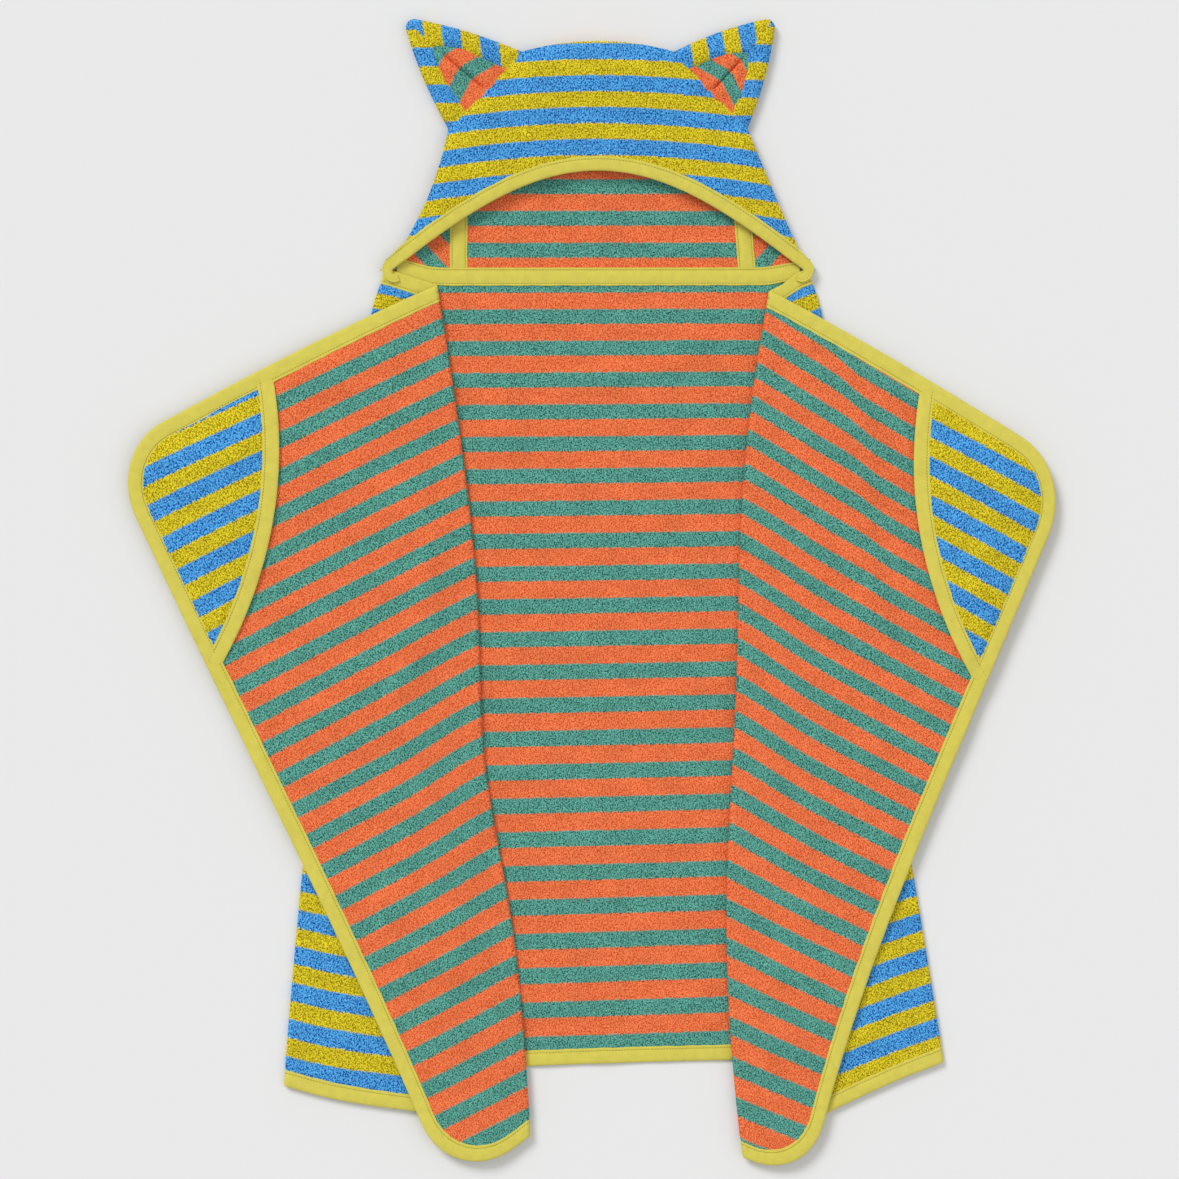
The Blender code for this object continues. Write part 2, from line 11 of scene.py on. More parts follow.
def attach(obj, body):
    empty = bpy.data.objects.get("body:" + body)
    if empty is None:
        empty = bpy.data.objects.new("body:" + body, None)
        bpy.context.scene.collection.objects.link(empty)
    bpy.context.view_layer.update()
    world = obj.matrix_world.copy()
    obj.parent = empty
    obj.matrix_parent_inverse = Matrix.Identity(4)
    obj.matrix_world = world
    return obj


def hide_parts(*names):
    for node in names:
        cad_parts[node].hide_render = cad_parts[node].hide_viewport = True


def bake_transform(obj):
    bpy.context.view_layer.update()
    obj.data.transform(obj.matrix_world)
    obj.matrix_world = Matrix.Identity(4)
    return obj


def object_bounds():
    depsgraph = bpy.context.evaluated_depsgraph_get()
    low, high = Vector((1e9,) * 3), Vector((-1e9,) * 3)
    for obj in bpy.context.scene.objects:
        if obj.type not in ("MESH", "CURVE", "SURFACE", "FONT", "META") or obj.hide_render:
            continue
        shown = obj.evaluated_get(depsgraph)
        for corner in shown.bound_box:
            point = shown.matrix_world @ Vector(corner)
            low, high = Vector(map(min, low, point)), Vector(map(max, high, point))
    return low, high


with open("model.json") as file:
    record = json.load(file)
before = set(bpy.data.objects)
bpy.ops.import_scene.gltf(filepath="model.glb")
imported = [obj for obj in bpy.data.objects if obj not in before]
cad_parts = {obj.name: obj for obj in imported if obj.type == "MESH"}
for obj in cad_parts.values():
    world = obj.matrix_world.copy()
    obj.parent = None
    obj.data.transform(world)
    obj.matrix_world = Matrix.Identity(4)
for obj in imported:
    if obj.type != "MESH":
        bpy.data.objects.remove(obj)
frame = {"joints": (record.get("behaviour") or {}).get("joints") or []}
CAD_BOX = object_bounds()
JOINTS = {joint["name"]: joint for joint in frame["joints"]}
SIDES = {"left": -1, "right": 1}

# Where the towel lies: its centre line and the neck edge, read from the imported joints.
CENTRE = JOINTS["hood_hinge"]["pos_m"][0]
NECK = JOINTS["left_outer_fold_hinge"]["pos_m"][1]
ORIGIN = np.array([CENTRE, NECK])

# The body cloth's flat pattern. x runs across from the centre line, y up from the neck edge.
BODY_LENGTH = 0.795
HALF_TOP = 0.636
HALF_HEM = 0.656
SHOULDER_DROP = 0.027
HEM_DROP = 0.026
TOP_RADIUS = 0.065
HEM_RADIUS = 0.078

# The cloth and the turns it makes. Each height is that of the middle of a layer.
CLOTH = 0.0035
HALF = CLOTH / 2
BEND = 0.0020
LAYER = {"back": HALF, "side": HALF + 2 * BEND, "front": HALF + 4 * BEND}
PRESSED = 0.0009
EDGE_TAPE = 0.0145
EDGE_WALL = 0.0015
NECK_TAPE = 0.018
NECK_THICK = 0.0016
CENTRE_HALF = 0.185
UNDER_FLAP = 0.022
# The share of the way down the body that the fold lines' places are counted in.
DOWN_SCALE = 0.935

# In-plane bends of the laid flaps, as parabolas from the neck to the hem.
# SLIDE and REACH are per REACH_UNIT of distance from the fold; BOW moves the fold edge itself.
REACH_UNIT = 0.30
SLIDE = {"left": (-0.022, 0.122, -0.052), "right": (-0.006, 0.153, -0.109)}
REACH = {"left": (0.020, 0.016, -0.066), "right": (-0.010, 0.065, -0.094)}
BOW = {"left": (0.001, -0.049, 0.042), "right": (0.015, -0.134, 0.127)}
OUTER_BOW = {"left": 0.009, "right": 0.0}
OUTER_SLIP = {"left": 0.020, "right": -0.010}
NECK_DRAW = {"left": 0.006, "right": 0.006}
# the inner fold's edge swells away from the centre: by how much, where down the body, over what
FOLD_SWELL = {"left": (0.015, 0.49, 0.14), "right": (0.0125, 0.43, 0.19)}
CENTRE_SKEW = 0.035

# Sheared cloth: how far the flaps' stripes are off the straight grain, as a share of a stripe pair,
# at the fold edge and per REACH_UNIT away from it, and across the right flap's crease.
SHEAR_EDGE = {"left": (0.212, -0.278, -0.517), "right": (-0.008, 0.604, -1.411)}
SHEAR_REACH = {"left": (-0.658, 1.461, 0.534), "right": (-1.616, 4.232, -1.066)}
CREASE_STEP = {"left": 0.0, "right": -0.245}
CREASE_AT = (0.042, 0.46, -0.50)
CREASE_END = 0.45
# The side layers' stripes: their shift at the hem, and how it grows upwards.
SIDE_PHASE = {"left": -0.275, "right": 0.12}
SIDE_DRIFT = {"left": 0.675, "right": 1.0}

# Soft creases: start, end (from the neck's centre), height, half width.
CREASES = {
    "left": [((-0.150, -0.262), (-0.196, -0.420), 0.0042, 0.016),
             ((-0.300, -0.345), (-0.215, -0.455), 0.0034, 0.018),
             ((-0.120, -0.560), (-0.150, -0.700), 0.0034, 0.016)],
    "right": [((0.208, -0.078), (0.243, -0.170), 0.0052, 0.012),
              ((0.243, -0.170), (0.284, -0.350), 0.0046, 0.014),
              ((0.170, -0.470), (0.260, -0.590), 0.0032, 0.018),
              ((0.180, -0.700), (0.165, -0.800), 0.0030, 0.016)],
    "centre": [((0.060, -0.040), (0.130, -0.105), 0.0036, 0.014),
               ((-0.020, -0.115), (0.090, -0.090), 0.0030, 0.013)],
}

# Stripes: the first orange edge below the neck, the pitch there, and how the pitch grows.
STRIPE_START = 0.024
STRIPE_PITCH = 0.03141
STRIPE_GROWTH = 0.00007
ORANGE_SHARE = 0.53

# Hood, drawn from the same centre and neck edge.
HOOD_NECK_HALF = 0.2125
HOOD_DRAW = {"left": 0.006, "right": 0.0}
HOOD_EAR = (0.149, 0.138)
HOOD_CROWN_HALF = 0.074
HOOD_TOP = 0.226
HOOD_CROWN_RISE = 0.010
HOOD_SEAM = 0.0085
HOOD_FRONT_MID = 0.0155
FACE_HALF = 0.205
FACE_RISE = 0.098
FACE_TAPE = 0.0135
FACE_WALL = 0.0016
CURL = 0.0036
HOOD_STRIPE = 0.0318
# Where the stripes start: on the front, with their sag, on the lining, and on its leaning sides.
HOOD_FRONT_FROM = 0.192
HOOD_FRONT_SAG = 0.10
LINING_FROM = 0.011
LINING_SIDE_FROM = 0.003
HOOD_SIDE_LEAN = math.radians(47)
SEAM_AT = {"left": 0.1395, "right": 0.1490}
SEAM_TAPE = 0.0175
SEAM_LENGTH = 0.128
SEAM_THICK = 0.0012

# Ears: the tip, the insert's point, and where the insert's base starts and ends along the seam.
EAR_TIP = {"left": (-0.196, 0.252), "right": (0.179, 0.252)}
EAR_APEX = {"left": (-0.1665, 0.2235), "right": (0.1505, 0.2165)}
EAR_BASE = {"left": (0.23, 0.76), "right": (0.23, 0.80)}
# Rim bands: first change below the tip and pair length, down the outer side and then along the top.
EAR_BANDS = {"left": (0.220, 0.0368, -0.1205, 0.0365), "right": (0.2233, 0.0355, 0.193, 0.0335)}
EAR_INSERT_PAIR = {"left": 0.036, "right": 0.029}
EAR_MID = 0.0065
EAR_PUFF = 0.0068
EAR_WELL = 0.0034

# Pockets at the flaps' top corners.
POCKET_SHOULDER = 0.175
POCKET_FRONT = 0.223
POCKET_BULGE = 0.029
POCKET_LIFT = 0.0014
POCKET_PUFF = 0.0032
POCKET_PHASE = {"left": 0.62, "right": -0.19}
MOUTH_TAPE = 0.0145
MOUTH_WALL = 0.0012

# Mesh steps: over the body, along a fold's rows, over the hood and pockets.
SPACING = 0.006
ROW_SPACING = 0.0025
SMALL_SPACING = 0.004

# Stitches: their spacing and how much of it each fills, the thread, and how far a row lies from
# the inner edge of a folded tape and from the edges of a flat one.
STITCH_PITCH = 0.0030
STITCH_FILL = 0.40
THREAD_RADIUS = 0.00040
THREAD_RISE = 0.00022
FOLDED_ROW = 0.0028
FLAT_ROW = 0.0022

# Studio: the camera looks straight down. Each sun has its place, its spread in degrees and its power.
CAMERA_HEIGHT = 4.0
CAMERA_OFF = (-0.014, 0.002)
VIEW_WIDTH = 1.179
VIEW_LEVEL = 0.010
SENSOR = 36.0
SUNS = {"key": ((-1.2, 1.6, 1.7), 24, 1.75), "fill": ((2.0, -0.6, 2.4), 60, 0.45)}
SKY = 0.55
FLOOR_ALBEDO = 0.80


# ---------------------------------------------------------------- plane geometry
def unit(vector):
    return vector / np.linalg.norm(vector)


def left_of(way):
    """A direction in the plane turned a quarter to the left."""
    return np.array([-way[1], way[0]])


def smooth(value, low, high):
    share = np.clip((value - low) / (high - low), 0, 1)
    return share * share * (3 - 2 * share)


def fillet(before, corner, after, radius, steps=10):
    """Points of an arc that rounds a corner."""
    before, corner, after = (np.asarray(p, float) for p in (before, corner, after))
    to_before, to_after = unit(before - corner), unit(after - corner)
    half = math.acos(np.clip(to_before @ to_after, -1, 1)) / 2
    centre = corner + unit(to_before + to_after) * radius / math.sin(half)
    first = corner + to_before * radius / math.tan(half) - centre
    last = corner + to_after * radius / math.tan(half) - centre
    sweep = math.acos(np.clip(first @ last / radius ** 2, -1, 1))
    shares = np.linspace(0, 1, steps + 1)
    return [centre + (first * math.sin((1 - s) * sweep) + last * math.sin(s * sweep)) / math.sin(sweep)
            for s in shares]


def resampled(points, spacing, closed=False):
    """The same line with each stretch divided evenly into steps of about the spacing."""
    points = [np.asarray(p, float) for p in points]
    points += points[:1] if closed else []
    made = []
    for start, end in zip(points, points[1:]):
        count = max(1, int(math.ceil(np.linalg.norm(end - start) / spacing - 1e-6)))
        made += [start + (end - start) * k / count for k in range(count)]
    if not closed:
        made.append(points[-1])
    return np.array(made)


def cut(outline, origin, normal):
    """The part of a closed outline on the side that the normal points away from."""
    kept = []
    for here, there in zip(outline, np.roll(outline, -1, axis=0)):
        a, b = (here - origin) @ normal, (there - origin) @ normal
        if a <= 1e-9:
            kept.append(here)
        if a * b < -1e-18:
            kept.append(here + (there - here) * a / (a - b))
    return np.array(kept)


def with_crossings(outline, lines, closed=True):
    """The outline with a point added wherever one of the lines crosses it."""
    made = []
    ends = np.roll(outline, -1, axis=0) if closed else outline[1:]
    for here, there in zip(outline, ends):
        made.append(here)
        found = []
        for origin, normal in lines:
            a, b = (here - origin) @ normal, (there - origin) @ normal
            if a * b < 0 and min(abs(a), abs(b)) > 1e-5:
                found.append(a / (a - b))
        made += [here + (there - here) * s for s in sorted(found)]
    if not closed:
        made.append(outline[-1])
    return np.array(made)


def distance_to(points, line, closed=False):
    """How far each point is from a line of many stretches."""
    starts = line if closed else line[:-1]
    ends = np.roll(line, -1, axis=0) if closed else line[1:]
    best = np.full(len(points), 1e9)
    for a, b in zip(starts, ends):
        way = b - a
        share = np.clip(((points - a) @ way) / max(way @ way, 1e-18), 0, 1)
        best = np.minimum(best, ((points - a - share[:, None] * way) ** 2).sum(1))
    return np.sqrt(best)


def inside(points, outline):
    x, y = points.T
    odd = np.zeros(len(points), bool)
    for (ax, ay), (bx, by) in zip(outline, np.roll(outline, -1, axis=0)):
        if ay != by:
            odd ^= ((ay > y) != (by > y)) & (x < (bx - ax) * (y - ay) / (by - ay) + ax)
    return odd


def filled(outline, spacing, lines=(), reach=0.0):
    """Points and triangles that fill an outline. Each line (origin, normal) gets a row of points."""
    outline = with_crossings(outline, lines)
    low, high = outline.min(0), outline.max(0)
    rows = np.arange(low[1], high[1], spacing * 0.87)
    grid = np.array([(x, y) for k, y in enumerate(rows)
                     for x in np.arange(low[0] + spacing * 0.5 * (k % 2), high[0], spacing)])
    grid = grid[inside(grid, outline)]
    grid = grid[distance_to(grid, outline, True) > spacing * 0.45]
    for origin, normal in lines:
        grid = grid[np.abs((grid - origin) @ normal) > reach]
    extra = []
    for origin, normal in lines:
        along = left_of(normal)
        row = origin + np.arange(-1.2, 1.2, ROW_SPACING)[:, None] * along
        row = row[inside(row, outline)]
        if len(row):
            extra.append(row[distance_to(row, outline, True) > ROW_SPACING * 0.5])
    points = np.vstack([outline, grid] + extra)
    count = len(outline)
    loop = [(k, (k + 1) % count) for k in range(count)]
    result = delaunay_2d_cdt([Vector(p) for p in points], loop, [], 1, 1e-7)
    flat = np.array([tuple(v) for v in result[0]])
    faces = np.array([tuple(f) for f in result[2] if len(f) == 3])
    a, b, c = (flat[faces[:, k]] for k in range(3))
    area = (b[:, 0] - a[:, 0]) * (c[:, 1] - a[:, 1]) - (b[:, 1] - a[:, 1]) * (c[:, 0] - a[:, 0])
    centres = (a + b + c) / 3
    good = (np.abs(area) > 1e-12) & inside(centres, outline)
    faces, area = faces[good], area[good]
    faces[area < 0] = faces[area < 0][:, ::-1]
    return flat, faces


def ripple(points, wavelength, seed):
    """A smooth uneven field between about -1 and 1, with bumps of about the wavelength."""
    random = np.random.default_rng(seed)
    total = np.zeros(len(points))
    for _ in range(5):
        turn = random.uniform(0, math.pi)
        scale = 2 * math.pi / (wavelength * random.uniform(0.75, 1.5))
        phase = random.uniform(0, 2 * math.pi)
        total += np.sin((points[:, 0] * math.cos(turn) + points[:, 1] * math.sin(turn)) * scale + phase)
    return total / 3


# ---------------------------------------------------------------- the folded body
class Fold:
    """A fold line in the drawing plane, with its direction to the hem and the way it turns."""

    def __init__(self, joint, side, outwards):
        self.origin = np.array(JOINTS[joint]["pos_m"][:2]) - ORIGIN
        way = np.array(JOINTS[joint]["axis"][:2])
        self.along = unit(way if way[1] < 0 else -way)
        normal = left_of(self.along)
        self.normal = normal if normal[0] * SIDES[side] * outwards > 0 else -normal

    def past_start(self, points):
        return (points - self.origin) @ self.normal + BEND + HALF

    def down(self, points):
        """How far down the body points are, as a share of its length."""
        return (points - self.origin) @ self.along / BODY_LENGTH * DOWN_SCALE


OUTER = {side: Fold(side + "_outer_fold_hinge", side, 1) for side in SIDES}
INNER = {side: Fold(side + "_inner_fold_hinge", side, -1) for side in SIDES}


def bent(points, up, middle, fold):
    """Takes cloth over a fold. up is each point's height on the side the cloth turns to."""
    past = fold.past_start(points)
    turn = np.clip(past / BEND, 0, math.pi)
    arm = BEND - up
    turned = past - math.pi * BEND
    reach = np.where(past <= 0, past, np.where(turned < 0, arm * np.sin(turn), -turned))
    moved = points + np.outer(reach - past, fold.normal)
    return moved, middle + BEND - arm * np.cos(turn), past, turned


def parabola(terms, share):
    return terms[0] + terms[1] * share + terms[2] * share ** 2


def creased(points, side):
    """Height of the soft creases, fading out at both ends."""
    rise = np.zeros(len(points))
    for start, end, height, width in CREASES[side]:
        start, end = np.array(start), np.array(end)
        way = end - start
        share = (points - start) @ way / (way @ way)
        off = np.linalg.norm(points - start - np.clip(share, 0, 1)[:, None] * way, axis=1)
        rise = np.maximum(rise, height * np.exp(-(off / width) ** 2))
    return rise


def flap_relief(points, side, turned):
    """How far the flap's cloth stands up from lying flat."""
    seed = 5 if side == "left" else 9
    rise = 0.0013 * (1 + ripple(points, 0.13, seed)) + 0.0006 * (1 + ripple(points, 0.05, seed + 10))
    return (np.maximum(rise, 0) + creased(points, side)) * smooth(turned, 0.004, 0.05)


def centre_relief(points):
    """The same for the middle of the back, between the flaps."""
    rise = 0.0011 * (1 + ripple(points, 0.13, 3)) + 0.0004 * (1 + ripple(points, 0.05, 4))
    rise = np.maximum(rise, 0) + creased(points, "centre")
    return rise * smooth(0.150 - np.abs(points[:, 0]), 0, 0.05) * smooth(-points[:, 1], 0.01, 0.04)


def flap_place(side, flat):
    """How far points of the flat cloth lie beyond the inner fold, and their share down the body."""
    spot = bent(flat, np.zeros(len(flat)), LAYER["back"], OUTER[side])[0]
    over, _, _, turned = bent(spot, np.zeros(len(flat)), LAYER["side"], INNER[side])
    return turned, INNER[side].down(over)


def flap_shear(side, flat):
    """How far a flap's stripes are off the straight grain."""
    turned, share = flap_place(side, flat)
    away = np.maximum(turned, 0) / REACH_UNIT
    shear = parabola(SHEAR_EDGE[side], share) * smooth(turned, -UNDER_FLAP, 0)
    shear = shear + away * parabola(SHEAR_REACH[side], share)
    crease = parabola(CREASE_AT, np.clip(share, 0.0, CREASE_END))
    step = smooth(turned, crease - 0.014, crease + 0.014) * np.clip(1 - share / CREASE_END, 0, 1)
    return shear + CREASE_STEP[side] * step


def folded(side, cloth):
    """Where points of the flat body cloth (across, up, height on its inner side) lie when folded."""
    flat, up = cloth[:, :2], cloth[:, 2]
    outer, inner = OUTER[side], INNER[side]
    spot, height, past, turned = bent(flat, up, LAYER["back"], outer)
    over, over_height, inner_past, inner_turned = bent(spot, -up, LAYER["side"], inner)
    on_side = turned > 0
    place = np.where(on_side[:, None], over, spot)
    height = np.where(on_side, over_height, height)
    share = inner.down(place)
    bow = parabola(BOW[side], share) * smooth(inner_past, -0.045, 0)
    height_of, centre_of, width_of = FOLD_SWELL[side]
    swell = height_of * np.exp(-((share * 0.85 - centre_of) / width_of) ** 2)
    bow = bow + swell * smooth(inner_past, -0.045, 0) * (1 - smooth(inner_turned, 0, 0.10))
    reach = np.maximum(inner_turned, 0) / REACH_UNIT
    moved = np.outer(-(bow + reach * parabola(REACH[side], share)), inner.normal)
    moved += np.outer(reach * parabola(SLIDE[side], share), inner.along)
    place = place + moved * on_side[:, None]
    near_outer = smooth(past, -0.05, 0) * (1 - on_side) + on_side * smooth(turned, 0.08, 0.0)
    swell = OUTER_BOW[side] * 4 * share * (1 - share) * near_outer
    place = place + np.outer(swell, outer.normal)
    slip = np.where(on_side, 1 - smooth(turned, 0.02, 0.20), smooth(past, -0.12, 0))
    place = place + np.outer(OUTER_SLIP[side] * share ** 2 * slip, outer.along)
    drawn = NECK_DRAW[side] * (1 - smooth(share, -0.01, 0.05)) * near_outer
    place = place - np.outer(drawn, outer.normal)
    skew = CENTRE_SKEW * place[:, 0] * share * smooth(CENTRE_HALF - np.abs(place[:, 0]), 0, 0.05)
    place = place + np.outer(skew * (1 - on_side), np.array([0.0, 1.0]))
    lift = np.where(on_side, flap_relief(place, side, inner_turned), centre_relief(place))
    return np.column_stack([place + ORIGIN, height + lift])


def half_edge(side):
    """The bound edge of half the body cloth, from the neck's end round to the centre of the hem."""
    sign = SIDES[side]
    neck_end = np.array([OUTER[side].origin[0], 0.0])
    top = np.array([sign * HALF_TOP, -SHOULDER_DROP])
    hem = [np.array([sign * s * HALF_HEM, -BODY_LENGTH - HEM_DROP * s * s]) for s in np.linspace(0, 1, 13)]
    top_arc = fillet(neck_end, top, hem[-1], TOP_RADIUS)
    hem_arc = fillet(top, hem[-1], hem[-2], HEM_RADIUS)
    rest = [p for p in hem[::-1] if sign * p[0] < sign * hem_arc[-1][0] - 0.002]
    return [neck_end] + top_arc + hem_arc + rest


HALF_EDGE = {side: resampled(half_edge(side), SPACING) for side in SIDES}
BODY_EDGE = np.vstack([HALF_EDGE["left"], HALF_EDGE["right"][::-1]])


def stripe_phase(down):
    """How many stripe pairs lie between the first orange edge and a place down the cloth."""
    inner = STRIPE_PITCH ** 2 + 4 * STRIPE_GROWTH * (down - STRIPE_START)
    return (np.sqrt(np.maximum(inner, 1e-9)) - STRIPE_PITCH) / (2 * STRIPE_GROWTH)


def unfolded(ends, outer):
    """Two points of the folded side layer, taken back to the flat cloth."""
    return ends - 2 * np.outer((ends - outer.origin) @ outer.normal, outer.normal)


def split_line(side):
    """In the flat cloth, the line that lies hidden under the flap when folded."""
    inner = INNER[side]
    origin = inner.origin - inner.normal * UNDER_FLAP
    flat = unfolded(np.array([origin - inner.along * 0.1, origin + inner.along]), OUTER[side])
    normal = left_of(unit(flat[1] - flat[0]))
    return flat[0], normal if normal[0] * SIDES[side] > 0 else -normal


def fold_rows(side, inner):
    """Lines across the flat cloth where it bends, so that the bend comes out round."""
    outer, fold = OUTER[side], INNER[side]
    steps = np.linspace(0, math.pi * BEND, 7) - BEND - HALF
    if not inner:
        return [(outer.origin + outer.normal * s, outer.normal) for s in steps]
    # distances in the folded side layer come back through the outer fold
    offset = outer.normal * (math.pi * BEND - 2 * (BEND + HALF))
    made = []
    for s in steps:
        ends = np.array([fold.origin - fold.along * 0.1, fold.origin + fold.along])
        flat = unfolded(ends + fold.normal * s, outer) + offset
        made.append((flat[0], left_of(unit(flat[1] - flat[0]))))
    return made


# ---------------------------------------------------------------- materials
def node_material(name):
    material = bpy.data.materials.new(name)
    material.use_nodes = True
    tree = material.node_tree
    shader = tree.nodes["Principled BSDF"]
    return material, tree, shader


def linked(tree, kind, settings=None, inputs=None):
    node = tree.nodes.new(kind)
    for key, value in (settings or {}).items():
        setattr(node, key, value)
    for key, value in (inputs or {}).items():
        if isinstance(value, bpy.types.NodeSocket):
            tree.links.new(value, node.inputs[key])
        else:
            node.inputs[key].default_value = value
    return node


def math_node(tree, operation, first, second=0.0, third=0.0):
    return linked(tree, "ShaderNodeMath", {"operation": operation},
                  {0: first, 1: second, 2: third}).outputs[0]


def scaled_uv(tree, across, along):
    """The cloth's own coordinates in metres, divided into cells of the given sizes."""
    uv = linked(tree, "ShaderNodeUVMap", {"uv_map": "cloth"}).outputs[0]
    return linked(tree, "ShaderNodeVectorMath", {"operation": "MULTIPLY"},
                  {0: uv, 1: (1 / across, 1 / along, 1.0)}).outputs[0]


def mixed(tree, share, first, second, blend="MIX"):
    return linked(tree, "ShaderNodeMix", {"data_type": "RGBA", "blend_type": blend},
                  {0: share, 6: first, 7: second}).outputs[2]


def noise(tree, place, scale, detail, **more):
    return linked(tree, "ShaderNodeTexNoise", {"noise_dimensions": "2D"},
                  {"Vector": place, "Scale": scale, "Detail": detail, **more}).outputs["Fac"]


def mapped(tree, value, low, high, first, last):
    return linked(tree, "ShaderNodeMapRange",
                  inputs={0: value, 1: low, 2: high, 3: first, 4: last}).outputs[0]


def surface(tree, shader, colour, bump=None, **constants):
    """Joins up the shader. bump is (height, strength, distance); constants are socket values."""
    tree.links.new(colour, shader.inputs["Base Color"])
    if bump:
        height, strength, distance = bump
        node = linked(tree, "ShaderNodeBump",
                      inputs={"Strength": strength, "Distance": distance, "Height": height})
        tree.links.new(node.outputs[0], shader.inputs["Normal"])
    for name, value in constants.items():
        shader.inputs[name.replace("_", " ")].default_value = value


def pile_material(name, first, second, share, tuft, depth, loopy):
    """Striped towelling. Each yarn colour is a pair: painted shade between the tufts and the lit colour on
    them, with a random tone from tuft to tuft.
    """
    material, tree, shader = node_material(name)
    stripes = linked(tree, "ShaderNodeUVMap", {"uv_map": "stripes"}).outputs[0]
    phase = linked(tree, "ShaderNodeSeparateXYZ", inputs={0: stripes}).outputs[0]
    fine = noise(tree, scaled_uv(tree, tuft, tuft * 1.2), 1.0, 2.0, Roughness=0.6)
    broad = noise(tree, scaled_uv(tree, 0.030, 0.018), 1.0, 3.0)
    tufts = linked(tree, "ShaderNodeTexVoronoi", {"voronoi_dimensions": "2D", "feature": "F1"},
                   {"Vector": scaled_uv(tree, tuft * 0.9, tuft * 1.3), "Scale": 1.0, "Randomness": 0.85})
    own = linked(tree, "ShaderNodeSeparateColor", inputs={0: tufts.outputs["Color"]}).outputs[0]
    crown = mapped(tree, tufts.outputs["Distance"], 0.10, 0.70, 1.0, 0.0)
    jitter = math_node(tree, "MULTIPLY_ADD", fine, 0.14, math_node(tree, "MULTIPLY_ADD", own, 0.03, -0.085))
    place = math_node(tree, "FRACT", math_node(tree, "ADD", phase, jitter))
    band = math_node(tree, "LESS_THAN", place, share)
    # painted shade: darker between the tufts and where the fine noise is low, where the bump also dips; own
    # adds a random tone per tuft
    shade_and_tone = math_node(tree, "MULTIPLY_ADD", crown, loopy, math_node(tree, "MULTIPLY", own, 0.30))
    shade_and_tone = mapped(tree, math_node(tree, "MULTIPLY_ADD", fine, 2.0 - loopy, shade_and_tone), 0.78, 1.42, 0.0, 1.0)
    yarns = [mixed(tree, shade_and_tone, dark + (1.0,), light + (1.0,)) for dark, light in (first, second)]
    # random broad patches, a few per cent lighter and darker
    patchiness = mapped(tree, broad, 0.3, 0.7, 0.93, 1.06)
    patchiness = linked(tree, "ShaderNodeCombineXYZ", inputs={0: patchiness, 1: patchiness, 2: patchiness}).outputs[0]
    colour = mixed(tree, 1.0, mixed(tree, band, yarns[1], yarns[0]), patchiness, "MULTIPLY")
    height = math_node(tree, "MULTIPLY_ADD", crown, 0.7, math_node(tree, "MULTIPLY", fine, 0.8))
    surface(tree, shader, colour, (height, 0.8, depth), Roughness=1.0, Specular_IOR_Level=0.04,
            Sheen_Weight=0.02, Sheen_Roughness=0.6)
    return material


def tape_material(name, colour):
    """Woven cotton tape: fine slanting twill ribs with uneven threads."""
    material, tree, shader = node_material(name)
    uv = scaled_uv(tree, 0.001, 0.001)
    parts = linked(tree, "ShaderNodeSeparateXYZ", inputs={0: uv})
    slant = math_node(tree, "MULTIPLY_ADD", parts.outputs[1], 0.45, parts.outputs[0])
    waver = noise(tree, uv, 0.9, 2.0)
    slant = math_node(tree, "MULTIPLY_ADD", waver, 0.8, slant)
    rib = math_node(tree, "SINE", math_node(tree, "MULTIPLY", slant, 2 * math.pi / 1.1))
    broad = math_node(tree, "MULTIPLY_ADD", noise(tree, uv, 0.12, 2.0), 0.7, 0.15)
    # painted shade: the colour is darker in the twill's grooves, where the bump dips, over a random broad
    # tone
    shade_and_tone = math_node(tree, "MULTIPLY_ADD", rib, 0.16, broad)
    dark = tuple(c * 0.83 for c in colour) + (1.0,)
    light = tuple(min(1.0, c * 1.10) for c in colour) + (1.0,)
    height = math_node(tree, "MULTIPLY_ADD", rib, 0.5, math_node(tree, "MULTIPLY", waver, 0.8))
    surface(tree, shader, mixed(tree, shade_and_tone, dark, light), (height, 0.5, 0.0002), Roughness=0.8,
            Specular_IOR_Level=0.25, Sheen_Weight=0.1)
    return material


def thread_material(name, colour):
    """Sewing thread, two plies twisted, with painted shade in dark bands along the twist."""
    material, tree, shader = node_material(name)
    twist = linked(tree, "ShaderNodeTexWave", {"wave_type": "BANDS", "bands_direction": "DIAGONAL"},
                   {"Vector": scaled_uv(tree, 0.001, 0.001), "Scale": 0.8, "Distortion": 0.5})
    dark = tuple(c * 0.7 for c in colour) + (1.0,)
    surface(tree, shader, mixed(tree, twist.outputs["Fac"], dark, colour + (1.0,)), Roughness=0.6)
    return material


def linear(red, green, blue):
    """A screen colour, 0 to 255, as the light it stands for."""
    return tuple(((c / 255 + 0.055) / 1.055) ** 2.4 if c > 10 else c / 3294 for c in (red, green, blue))


# Each yarn as a pair: its painted shade between the tufts, and its lit colour on them.
ORANGE = (linear(200, 66, 20), linear(255, 140, 90))
GREEN = (linear(6, 70, 58), linear(110, 186, 170))
BLUE = (linear(0, 64, 148), linear(98, 190, 255))
OLIVE = (linear(144, 122, 0), linear(246, 226, 52))
INNER_PILE = pile_material("inner_pile", ORANGE, GREEN, ORANGE_SHARE, 0.0013, 0.0005, 0.35)
OUTER_TERRY = pile_material("outer_terry", OLIVE, BLUE, 0.5, 0.0015, 0.0009, 0.55)
TAPE = tape_material("binding_tape", linear(217, 205, 86))
# the thread is darker than the tape, partly as painted shade for the line of stitches
THREAD = thread_material("sewing_thread", linear(178, 164, 40))


